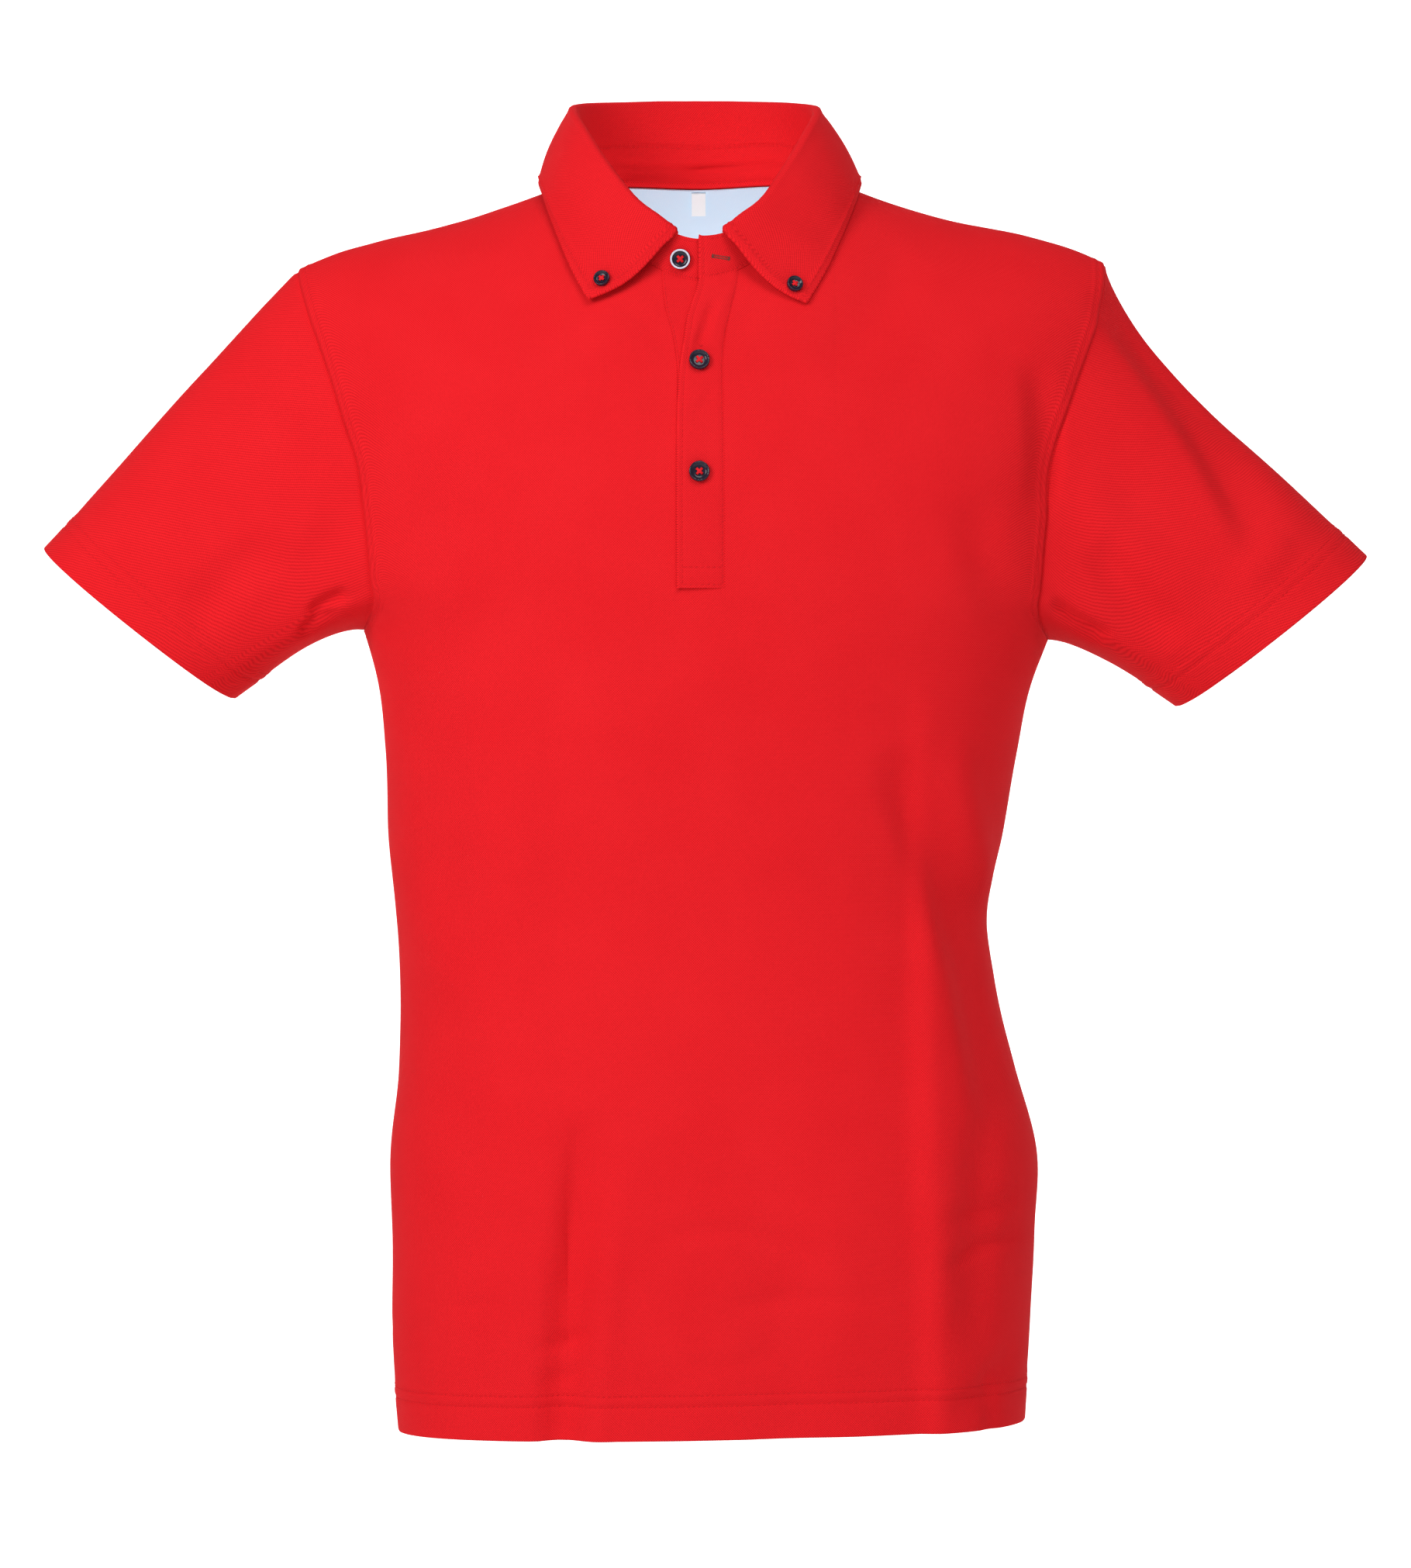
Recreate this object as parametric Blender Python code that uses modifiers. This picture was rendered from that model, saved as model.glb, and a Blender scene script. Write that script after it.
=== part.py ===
"""A short-sleeved polo shirt with a button-down collar, filled out as if worn.

Metres, +Z up, the front facing -Y. The origin is the middle of the neck at the height of the shoulder line.
Every cut and sewn piece is one closed solid: a quad mesh through the middle of the cloth, given a wall.
Pieces that are sewn together share the points of their seam, and each draws back half the seam gap from it.
"""

import math
from collections import namedtuple

import bmesh
import bpy
import numpy as np
from mathutils import Matrix, Vector

# Cloth
PIQUE_WALL = 0.0015
PLACKET_WALL = 0.0016
COLLAR_WALL = 0.0020
STAND_WALL = 0.0022
LINING_WALL = 0.0010
LABEL_WALL = 0.0010
SEAM_GAP = 0.0003

# Body: half widths and depths of the level sections, and the cut-off of the panels above the underarm
HEM_HEIGHT = -0.7020
HEM_TILT = 0.017
UNDERARM_HEIGHT = -0.2550
UNDERARM_TURN = -0.2330
SQUARENESS = 2.4
BODY_LEVELS = 17

Section = namedtuple("Section", "height left right front back")
SECTIONS = [
    Section(-0.706, 0.1690, 0.1825, 0.1070, 0.1060),
    Section(-0.650, 0.1735, 0.1860, 0.1100, 0.1100),
    Section(-0.595, 0.1735, 0.1885, 0.1120, 0.1110),
    Section(-0.550, 0.1750, 0.1900, 0.1110, 0.1080),
    Section(-0.500, 0.1700, 0.1780, 0.1080, 0.1020),
    Section(-0.450, 0.1690, 0.1665, 0.1060, 0.0960),
    Section(-0.410, 0.1715, 0.1615, 0.1060, 0.0950),
    Section(-0.370, 0.1755, 0.1700, 0.1080, 0.0980),
    Section(-0.320, 0.1775, 0.1785, 0.1110, 0.1050),
    Section(-0.280, 0.1825, 0.1865, 0.1140, 0.1120),
    Section(-0.255, 0.1900, 0.1960, 0.1150, 0.1160),
    Section(-0.233, 0.2010, 0.2070, 0.1155, 0.1180),
    Section(-0.185, 0.2085, 0.2140, 0.1155, 0.1190),
    Section(-0.140, 0.2200, 0.2240, 0.1155, 0.1190),
    Section(-0.095, 0.2360, 0.2400, 0.1155, 0.1190),
    Section(-0.050, 0.2480, 0.2500, 0.1155, 0.1190),
    Section(0.020, 0.2600, 0.2600, 0.1155, 0.1190),
]

SHOULDER_TILT = 0.009
Ridge = namedtuple("Ridge", "reach height")
SHOULDER = [
    Ridge(-0.040, 0.0110),
    Ridge(0.000, 0.0140),
    Ridge(0.040, 0.0110),
    Ridge(0.075, 0.0000),
    Ridge(0.110, -0.0125),
    Ridge(0.145, -0.0228),
    Ridge(0.186, -0.0318),
    Ridge(0.209, -0.0384),
    Ridge(0.223, -0.0445),
    Ridge(0.232, -0.0500),
    Ridge(0.260, -0.0660),
]

Armhole = namedtuple("Armhole", "height left right")
ARMHOLE = [
    Armhole(-0.235, 0.1840, 0.1895),
    Armhole(-0.185, 0.1890, 0.1945),
    Armhole(-0.158, 0.1930, 0.1985),
    Armhole(-0.140, 0.1990, 0.2030),
    Armhole(-0.115, 0.2070, 0.2115),
    Armhole(-0.095, 0.2140, 0.2190),
    Armhole(-0.075, 0.2215, 0.2260),
    Armhole(-0.048, 0.2290, 0.2295),
    Armhole(-0.020, 0.2310, 0.2310),
]

# Each panel is upright up to its turn, and above it curves over to the shoulder seam
Turn = namedtuple("Turn", "start power rows levels")
TURN = {
    -1: Turn(-0.2200, 1.80, 10, (-0.2525, -0.2460, -0.2320, -0.2200)),
    1: Turn(-0.1500, 2.55, 8, (-0.2525, -0.2460, -0.2320, -0.2060, -0.1790, -0.1500)),
}
SEAM_TRIES = 12
SIDE_COLUMNS = 7
NECK_COLUMNS = 6
BACK_NECK_COLUMNS = 10

# Neck opening, and the slot below it that holds the two plackets
NECK_HALF_WIDTH = 0.0750
NECK_DEPTH = {-1: 0.0780, 1: 0.0570}
NECK_SEAM_FRONT = -0.0580
SLOT_BOTTOM = -0.2320
PLACKET_LIFT = 0.0020

Slot = namedtuple("Slot", "height under_seam over_seam over_edge under_edge")
SLOT = [
    Slot(-0.235, -0.0124, 0.0136, -0.0120, 0.0118),
    Slot(-0.150, -0.0124, 0.0134, -0.0120, 0.0118),
    Slot(-0.125, -0.0126, 0.0131, -0.0116, 0.0114),
    Slot(-0.106, -0.0132, 0.0130, -0.0104, 0.0105),
    Slot(-0.090, -0.0158, 0.0146, -0.0082, 0.0085),
    Slot(-0.076, -0.0196, 0.0178, -0.0060, 0.0060),
    Slot(NECK_SEAM_FRONT, -0.0214, 0.0214, -0.0005, 0.0040),
    Slot(-0.040, -0.0218, 0.0222, 0.0010, 0.0040),
]
COLLAR_END = 0.0142
OVER_MIDDLE = 0.0068
UNDER_MIDDLE = -0.0050
SLOT_GUIDE_X = 0.0200

# Neckband and collar
STAND_HEIGHT = 0.0235
STAND_TOP_WIDTH = 0.0690
STAND_TOP_DEPTH = {-1: 0.0785, 1: 0.0590}
STAND_ROWS = 2
ROLL_RADIUS = 0.0022
LEAST_RISE = 0.0010
ROLL_STEPS = 4
FALL_STEPS = 6
COLLAR_LEAN = 0.0030
RISE_TAPER = 0.030
FULL_RISE = 0.017
BOW_WAY = (-0.62, -0.78)
BOW_PEAK = 1.3
# How far each collar point hangs in and down, fading out round the neck
POINT_HANG = {-1: (0.0, 0.0), 1: (-0.0032, -0.0028)}
POINT_HANG_END = 60.0

Leaf = namedtuple("Leaf", "angle roll edge_x edge_y edge_z bow bulge")
COLLAR = [
    Leaf(10, -0.0330, 0.0612, -0.0850, -0.0708, 0.0055, 0.0010),
    Leaf(17, -0.0255, 0.0660, -0.0790, -0.0625, 0.0038, 0.0010),
    Leaf(29, -0.0150, 0.0722, -0.0710, -0.0505, 0.0016, 0.0012),
    Leaf(41, 0.0005, 0.0775, -0.0610, -0.0380, 0.0005, 0.0014),
    Leaf(53, 0.0155, 0.0825, -0.0490, -0.0250, 0.0000, 0.0016),
    Leaf(66, 0.0290, 0.0872, -0.0330, -0.0115, 0.0000, 0.0018),
    Leaf(78, 0.0375, 0.0902, -0.0150, -0.0025, 0.0000, 0.0020),
    Leaf(90, 0.0430, 0.0910, 0.0020, 0.0015, 0.0000, 0.0022),
    Leaf(108, 0.0465, 0.0860, 0.0270, 0.0020, 0.0000, 0.0026),
    Leaf(126, 0.0488, 0.0735, 0.0460, 0.0020, 0.0000, 0.0028),
    Leaf(144, 0.0505, 0.0535, 0.0600, 0.0022, 0.0000, 0.0030),
    Leaf(162, 0.0518, 0.0280, 0.0680, 0.0025, 0.0000, 0.0030),
    Leaf(180, 0.0522, 0.0000, 0.0710, 0.0028, 0.0000, 0.0030),
]

# Sleeves
SLEEVE_ROWS = 9
CUFF_DEPTH = 0.0480
CUFF_SQUARENESS = 2.15
UNDERARM_TILT = 0.012
UNDERARM_REACH = 0.045
CUFF_BULGE = {-1: 0.0038, 1: 0.0012}
ARCH_PEAK = 0.70
DIP_PEAK = 0.60
Cuff = namedtuple("Cuff", "upper lower arch dip")
CUFF = {
    -1: Cuff((-0.3710, -0.2060), (-0.2645, -0.2900), 0.0080, -0.0010),
    1: Cuff((0.3765, -0.2110), (0.2700, -0.2950), 0.0060, 0.0105),
}

# The largest folds, as lines in the front view: a trough has a depth below zero
Fold = namedtuple("Fold", "piece face x0 z0 x1 z1 width depth")
FOLDS = [
    Fold("front_panel", -1, -0.112, -0.275, -0.100, -0.590, 0.034, 0.0035),
    Fold("front_panel", -1, -0.064, -0.520, -0.083, -0.800, 0.024, -0.0060),
    Fold("front_panel", -1, 0.134, -0.480, 0.138, -0.800, 0.026, 0.0050),
    Fold("front_panel", -1, 0.158, -0.520, 0.150, -0.660, 0.018, -0.0040),
    Fold("front_panel", -1, 0.045, -0.560, 0.062, -0.790, 0.034, -0.0025),
    Fold("back_panel", 1, -0.088, -0.300, -0.078, -0.620, 0.030, -0.0060),
    Fold("back_panel", 1, 0.082, -0.310, 0.092, -0.640, 0.030, -0.0065),
    Fold("back_panel", 1, 0.006, -0.420, -0.008, -0.800, 0.040, 0.0040),
    Fold("back_panel", 1, -0.120, -0.560, -0.128, -0.800, 0.026, -0.0045),
    Fold("back_panel", 1, 0.052, -0.590, 0.060, -0.800, 0.028, -0.0040),
    Fold("sleeve_right", -1, 0.236, -0.085, 0.322, -0.205, 0.022, -0.0045),
    Fold("sleeve_right", -1, 0.222, -0.205, 0.270, -0.262, 0.018, -0.0040),
    Fold("sleeve_left", -1, -0.226, -0.205, -0.290, -0.250, 0.020, -0.0035),
    Fold("sleeve_left", 1, -0.236, -0.120, -0.310, -0.215, 0.024, -0.0045),
    Fold("sleeve_right", 1, 0.238, -0.130, 0.305, -0.240, 0.024, -0.0045),
]
FOLD_TAPER = 0.30
FOLD_FACING = 1.6
SHARP_ANGLE = 50
LEAST_MITRE = 0.60

# Half-moon lining and the label inside the back of the neck
LINING_DROP = 0.0800
LINING_LEAST = 0.0060
LINING_HALF_WIDTH = 0.0715
LINING_ROWS = 5
LINING_GAP = 0.0006
LABEL_WIDTH = 0.0080
LABEL_LENGTH = 0.0220
LABEL_X = -0.0010
LABEL_ROWS = 3
NECK_CLEARANCE = 0.0016

# Buttons
FRONT_BUTTON = 0.0114
COLLAR_BUTTON = 0.0090
BUTTON_THICKNESS = 0.0026
BUTTON_CLEARANCE = 0.0004
BUTTON_STEPS = 18
HOLE_SIDES = 6
HOLE_SPACING = 0.20
HOLE_RADIUS = 0.105
BUTTON_PROFILE = [(0.0, 0.52), (0.50, 0.56), (0.66, 0.96), (0.84, 1.0), (1.0, 0.62), (0.90, 0.0), (0.0, 0.0)]
STAND_BUTTON_X = -0.0108
STAND_BUTTON_SHARE = 0.45
PLACKET_BUTTON_HEIGHTS = (-0.1060, -0.1680)
PLACKET_BUTTON_X = -0.0006
CollarButton = namedtuple("CollarButton", "side x height")
COLLAR_BUTTONS = [CollarButton("left", -0.0540, -0.0600), CollarButton("right", 0.0519, -0.0630)]

RED = (0.78, 0.012, 0.018, 1.0)
LINING_BLUE = (0.60, 0.74, 0.90, 1.0)
LABEL_WHITE = (0.86, 0.86, 0.84, 1.0)
BUTTON_NAVY = (0.012, 0.012, 0.022, 1.0)
PIQUE_ROUGHNESS = 0.85
LINING_ROUGHNESS = 0.80
LABEL_ROUGHNESS = 0.70
RESIN_ROUGHNESS = 0.22


def column(rows, name):
    """One named column of a table, as an array."""
    return np.array([getattr(row, name) for row in rows])


def read(rows, key, name, at):
    """The value of a named column where the key column is at, on a smooth curve through the rows."""
    keys, values = column(rows, key), column(rows, name)
    at = min(max(at, keys[0]), keys[-1])
    slopes = np.gradient(values, keys)
    i = min(max(int(np.searchsorted(keys, at)) - 1, 0), len(keys) - 2)
    step = keys[i + 1] - keys[i]
    t = (at - keys[i]) / step
    return float(
        (2 * t**3 - 3 * t**2 + 1) * values[i] + (t**3 - 2 * t**2 + t) * step * slopes[i]
        + (3 * t**2 - 2 * t**3) * values[i + 1] + (t**3 - t**2) * step * slopes[i + 1]
    )


def unit(vectors):
    """The vectors at length one."""
    vectors = np.asarray(vectors, dtype=float)
    return vectors / np.maximum(np.linalg.norm(vectors, axis=-1, keepdims=True), 1e-12)


def half_width(x, height):
    """Half the width of the body's level section, on the side where x lies."""
    return read(SECTIONS, "height", "left" if x < 0 else "right", height)


def panel_depth(face, height):
    """How far the middle of the front or back stands out at a height."""
    return read(SECTIONS, "height", "front" if face < 0 else "back", min(height, TURN[face].start))


def across(x, height):
    """The share of the middle's depth that the section keeps at x."""
    return max(0.0, 1.0 - (abs(x) / half_width(x, height)) ** SQUARENESS) ** (1.0 / SQUARENESS)


def shoulder_height(x):
    """The height of the shoulder line above x."""
    return read(SHOULDER, "reach", "height", abs(x)) + SHOULDER_TILT * x


def risen_height(face, x, rise):
    """The height reached at x when the panel has turned by an angle towards the shoulder seam."""
    turn = TURN[face]
    return turn.start + (shoulder_height(x) - turn.start) * math.sin(rise) ** (2.0 / turn.power)


def panel_point(face, x, height, rise=0.0):
    """A point of the front or back at x and height."""
    drawn_in = max(0.0, math.cos(rise)) ** (2.0 / TURN[face].power)
    return (x, face * panel_depth(face, height) * across(x, height) * drawn_in, height)


def neck_rise(face, x):
    """The turn at which the panel meets the neck opening at x, a right angle outside the neck."""
    share = abs(x) / NECK_HALF_WIDTH
    if share >= 1.0:
        return math.pi / 2
    wanted = NECK_DEPTH[face] * math.sqrt(1.0 - share**2)
    rise = math.pi / 4
    for _ in range(SEAM_TRIES):
        depth = panel_depth(face, TURN[face].start) * across(x, risen_height(face, x, rise))
        rise = math.acos(min(1.0, (wanted / depth) ** (TURN[face].power / 2.0)))
    return rise


def armhole_x(face, side, height):
    """How far out the armhole seam lies at a height: measured above the underarm, a round turn below."""
    name = "left" if side < 0 else "right"
    if height >= UNDERARM_TURN:
        return side * read(ARMHOLE, "height", name, height)
    top_x = side * read(ARMHOLE, "height", name, UNDERARM_TURN)
    drop = (UNDERARM_TURN - height) / (UNDERARM_TURN - UNDERARM_HEIGHT)
    share = across(top_x, UNDERARM_TURN) * math.sqrt(max(0.0, 1.0 - drop**2))
    return side * half_width(side, height) * (1.0 - share**SQUARENESS) ** (1.0 / SQUARENESS)


def risen_armhole_x(face, side, rise):
    """The armhole seam's x where the panel has turned by rise."""
    x = armhole_x(face, side, ARMHOLE[0].height)
    for _ in range(SEAM_TRIES):
        x = armhole_x(face, side, risen_height(face, x, rise))
    return x


def side_columns(face, side, edge_x, height):
    """The x of each column from beside the neck to the edge, spaced by the angle round the section."""
    reach = half_width(side, height)
    power = SQUARENESS / 2.0
    inner = math.asin((NECK_HALF_WIDTH / reach) ** power)
    outer = math.asin(min(1.0, abs(edge_x) / reach) ** power)
    angles = np.linspace(inner, outer, SIDE_COLUMNS + 1)[1:]
    xs = [side * reach * math.sin(angle) ** (1.0 / power) for angle in angles]
    xs[-1] = edge_x
    return xs


def neck_shares(columns):
    """Where the neck columns lie between the slot and the side of the neck, closer towards the side."""
    seam = read(SLOT, "height", "over_seam", NECK_SEAM_FRONT)
    first = math.asin(seam / NECK_HALF_WIDTH)
    angles = np.linspace(first, math.pi / 2, columns + 1)
    return (NECK_HALF_WIDTH * np.sin(angles) - seam) / (NECK_HALF_WIDTH - seam)


def neck_columns_front(height):
    """The x of the front's columns from neck side to neck side, the slot's seams and middle among them."""
    left = read(SLOT, "height", "under_seam", height)
    right = read(SLOT, "height", "over_seam", height)
    shares = neck_shares(NECK_COLUMNS)
    left_xs = [left - share * (NECK_HALF_WIDTH + left) for share in shares[::-1]]
    right_xs = [right + share * (NECK_HALF_WIDTH - right) for share in shares]
    return left_xs + [(left + right) / 2] + right_xs


def neck_columns_back(_height):
    """The x of the back's columns from neck side to neck side, evenly spaced round the neck."""
    angles = np.linspace(-math.pi / 2, math.pi / 2, BACK_NECK_COLUMNS + 1)
    return [NECK_HALF_WIDTH * math.sin(angle) for angle in angles]


def panel_rows(face):
    """The heights of the level rows from hem to turn, and the shares of the turn above them."""
    body = np.linspace(HEM_HEIGHT, UNDERARM_HEIGHT, BODY_LEVELS + 1)
    return [*body, *TURN[face].levels], [(i + 1) / TURN[face].rows for i in range(TURN[face].rows)]


def panel_grid(face):
    """The middle of the front's or back's cloth: rows from the hem up, columns from left to right."""
    neck_columns = neck_columns_front if face < 0 else neck_columns_back
    levels, shares = panel_rows(face)
    top_xs = neck_columns(NECK_SEAM_FRONT)
    grid = []
    for height in levels:
        below = height <= UNDERARM_HEIGHT
        edges = [side * half_width(side, height) if below else armhole_x(face, side, height)
                 for side in (-1, 1)]
        left = side_columns(face, -1, edges[0], height)[::-1]
        right = side_columns(face, 1, edges[1], height)
        share = max(0.0, (UNDERARM_HEIGHT - height) / (UNDERARM_HEIGHT - HEM_HEIGHT))
        row = [panel_point(face, x, height) for x in [*left, *neck_columns(height), *right]]
        near = math.exp(-(((height - UNDERARM_HEIGHT) / UNDERARM_REACH) ** 2))
        grid.append([(x, y, z + (HEM_TILT * share**2 - UNDERARM_TILT * near) * x) for x, y, z in row])
    for share in shares:
        quarter = share * math.pi / 2
        row = []
        for side in (-1, 1):
            edge = risen_armhole_x(face, side, quarter)
            xs = side_columns(face, side, edge, risen_height(face, edge, quarter))
            row.append([panel_point(face, x, risen_height(face, x, quarter), quarter) for x in xs])
        rises = [share * neck_rise(face, x) for x in top_xs]
        middle = risen_height(face, SLOT_GUIDE_X, share * neck_rise(face, SLOT_GUIDE_X))
        neck = [
            panel_point(face, x, risen_height(face, x, rise), rise)
            for x, rise in zip(neck_columns(middle), rises)
        ]
        grid.append(row[0][::-1] + neck + row[1])
    return np.array(grid)


def turned(quad):
    """The quad facing the other way, split along the same diagonal."""
    return (quad[0], quad[3], quad[2], quad[1])


class Sheet:
    """A cloth piece before it has a wall: quads through the middle of the cloth, facing out."""

    def __init__(self, name, grid, wall, closed=False, skip=(), flip=False):
        grid = np.asarray(grid, dtype=float)
        rows, columns = grid.shape[:2]
        self.name, self.wall, self.shape = name, wall, (rows, columns)
        self.points = grid.reshape(-1, 3).copy()
        self.quads = []
        for i in range(rows - 1):
            for j in range(columns if closed else columns - 1):
                if (i, j) in skip:
                    continue
                k = (j + 1) % columns
                quad = (i * columns + j, i * columns + k, (i + 1) * columns + k, (i + 1) * columns + j)
                self.quads.append(turned(quad) if flip else quad)
        self.normals = self.own_normals()

    def own_normals(self):
        """The normal at each point, from the quads round it."""
        normals = np.zeros_like(self.points)
        for quad in self.quads:
            a, b, c, d = (self.points[k] for k in quad)
            normals[list(quad)] += np.cross(c - a, d - b)
        return unit(normals)

    def row(self, index):
        """The points of one row."""
        return self.points.reshape(*self.shape, 3)[index]

    def column(self, index):
        """The points of one column."""
        return self.points.reshape(*self.shape, 3)[:, index]

    def edges(self):
        """Each outer edge as a pair of points, with the middle of the quad that it bounds."""
        found = {}
        for quad in self.quads:
            middle = self.points[list(quad)].mean(axis=0)
            for a, b in zip(quad, quad[1:] + quad[:1]):
                key = (min(a, b), max(a, b))
                found[key] = None if key in found else (a, b, middle)
        return [edge for edge in found.values() if edge]

    def fold(self, folds):
        """Moves the cloth in or out along its folds, on the side that each fold faces."""
        move = np.zeros(len(self.points))
        for f in folds:
            start, line = np.array([f.x0, f.z0]), np.array([f.x1 - f.x0, f.z1 - f.z0])
            away = self.points[:, [0, 2]] - start
            along = np.clip(away @ line / (line @ line), 0.0, 1.0)
            distance = np.linalg.norm(away - along[:, None] * line, axis=1) / f.width
            end = np.clip(np.minimum(along, 1.0 - along) / FOLD_TAPER, 0.0, 1.0)
            facing = np.clip(f.face * self.normals[:, 1] * FOLD_FACING, 0.0, 1.0)
            slope = np.cos(np.clip(distance, 0, 1) * math.pi / 2) ** 2
            move += f.depth * slope * np.sin(end * math.pi / 2) * facing
        self.points += self.normals * move[:, None]
        self.normals = self.own_normals()


def share_seams(sheets):
    """Gives the points where sheets meet one normal, so that both walls are mitred on the same plane."""
    meeting = {}
    for sheet in sheets:
        sheet.shared = sheet.normals.copy()
        for k in {k for edge in sheet.edges() for k in edge[:2]}:
            key = tuple(np.round(sheet.points[k], 5))
            meeting.setdefault(key, []).append((sheet, k))
    for members in meeting.values():
        total = unit(sum(sheet.normals[k] for sheet, k in members))
        for sheet, k in members:
            sheet.shared[k] = total


def walled_mesh(sheet):
    """The sheet's solid: its points drawn back from each edge by half the seam gap and moved out and in."""
    inward = {}
    for a, b, middle in sheet.edges():
        along = unit(sheet.points[b] - sheet.points[a])
        for k in (a, b):
            away = unit(np.cross(sheet.shared[k], along))
            inward.setdefault(k, []).append(away if away @ (middle - sheet.points[k]) > 0 else -away)
    middle = sheet.points.copy()
    for k, ways in inward.items():
        ways = ways if len(ways) > 1 else ways * 2
        middle[k] += sum(ways) / max(LEAST_MITRE, 1.0 + ways[0] @ ways[-1]) * SEAM_GAP / 2
    slant = np.clip(np.einsum("ij,ij->i", sheet.normals, sheet.shared), LEAST_MITRE, 1.0)
    reach = sheet.shared * (sheet.wall / 2 / slant)[:, None]
    used = sorted({k for quad in sheet.quads for k in quad})
    place = {k: i for i, k in enumerate(used)}
    count = len(used)
    outer, inner = (middle + reach)[used], (middle - reach)[used]
    faces = [tuple(place[k] for k in quad) for quad in sheet.quads]
    faces += [tuple(place[k] + count for k in turned(quad)) for quad in sheet.quads]
    faces += [(place[b], place[a], place[a] + count, place[b] + count) for a, b, _ in sheet.edges()]
    mesh = bpy.data.meshes.new(sheet.name)
    mesh.from_pydata(np.vstack([outer, inner]).tolist(), [], faces)
    mesh.shade_smooth()
    mesh.set_sharp_from_angle(angle=math.radians(SHARP_ANGLE))
    return mesh


def sleeve_grid(side, front, back):
    """The middle of a sleeve: rings from the armhole to the cuff, each down the front and up the back."""
    edge = 0 if side < 0 else -1
    first = BODY_LEVELS
    down, up = front.column(edge)[first:][::-1], back.column(edge)[first:]
    ring, angles = [], []
    for line, start in ((down, 0.0), (up, math.pi)):
        steps = np.linalg.norm(np.diff(line, axis=0), axis=1)
        share = np.concatenate([[0.0], np.cumsum(steps)]) / steps.sum()
        ring.extend(line[:-1])
        angles.extend(start + share[:-1] * math.pi)
    ring, angles = np.array(ring), np.array(angles)
    upper, lower = (np.array([x, 0.0, z]) for x, z in CUFF[side][:2])
    axis = unit(np.array([upper[2] - lower[2], 0.0, lower[0] - upper[0]])) * side
    power = 2.0 / CUFF_SQUARENESS
    tall = np.sign(np.cos(angles)) * np.abs(np.cos(angles)) ** power
    deep = np.sign(np.sin(angles)) * np.abs(np.sin(angles)) ** power
    ahead = np.array([0.0, -CUFF_DEPTH, 0.0])
    cuff = (upper + lower) / 2 + tall[:, None] * (upper - lower) / 2 + deep[:, None] * ahead
    bulge = np.where(deep > 0, CUFF_BULGE[-1], CUFF_BULGE[1]) * np.abs(deep)
    cuff += bulge[:, None] * axis
    below = np.clip(-np.cos(angles), 0.0, 1.0) ** 3
    above = np.clip(np.cos(angles), 0.0, 1.0) ** 2
    over = unit(upper - lower)
    grid = []
    for i in range(SLEEVE_ROWS + 1):
        share = i / SLEEVE_ROWS
        rows = ring + (cuff - ring) * share
        rows[:, 2] += CUFF[side].arch * below * math.sin(math.pi * share**ARCH_PEAK)
        rows -= (CUFF[side].dip * above * math.sin(math.pi * share**DIP_PEAK))[:, None] * over
        grid.append(rows)
    return grid


def placket_grid(base_rows, seam, edge, lift, xs_top):
    """A placket's middle: from its seam in the slot to its free edge, where it has moved out by lift."""
    grid = []
    columns = len(xs_top)
    for kind, value in base_rows:
        if kind == "level":
            height, rises = value, [0.0] * columns
        else:
            rises = [value * neck_rise(-1, x) for x in xs_top]
            height = risen_height(-1, SLOT_GUIDE_X, value * neck_rise(-1, SLOT_GUIDE_X))
        start, end = read(SLOT, "height", seam, height), read(SLOT, "height", edge, height)
        shares = [(x - xs_top[0]) / (xs_top[-1] - xs_top[0]) for x in xs_top]
        row = []
        for share, rise in zip(shares, rises):
            x = start + (end - start) * share
            z = height if kind == "level" else risen_height(-1, x, rise)
            row.append(panel_point(-1, x, z, rise))
        grid.append(row)
    flat = Sheet("guide", grid, 0.0, flip=xs_top[-1] < xs_top[0])
    moves = np.tile(np.array(shares) * lift, len(grid))
    return (flat.points + flat.normals * moves[:, None]).reshape(len(grid), columns, 3)


def neck_angle(point):
    """The plan angle of a point of the neck seam, from the middle of the front."""
    angle = math.asin(min(1.0, abs(point[0]) / NECK_HALF_WIDTH))
    return angle if point[1] <= 0 else math.pi - angle


def stand_top(point):
    """The neckband's top edge above a point of the neck seam."""
    face = -1 if point[1] < 0 else 1
    depth = STAND_TOP_DEPTH[face] / NECK_DEPTH[face]
    return np.array([point[0] * STAND_TOP_WIDTH / NECK_HALF_WIDTH, point[1] * depth, point[2] + STAND_HEIGHT])


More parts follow.
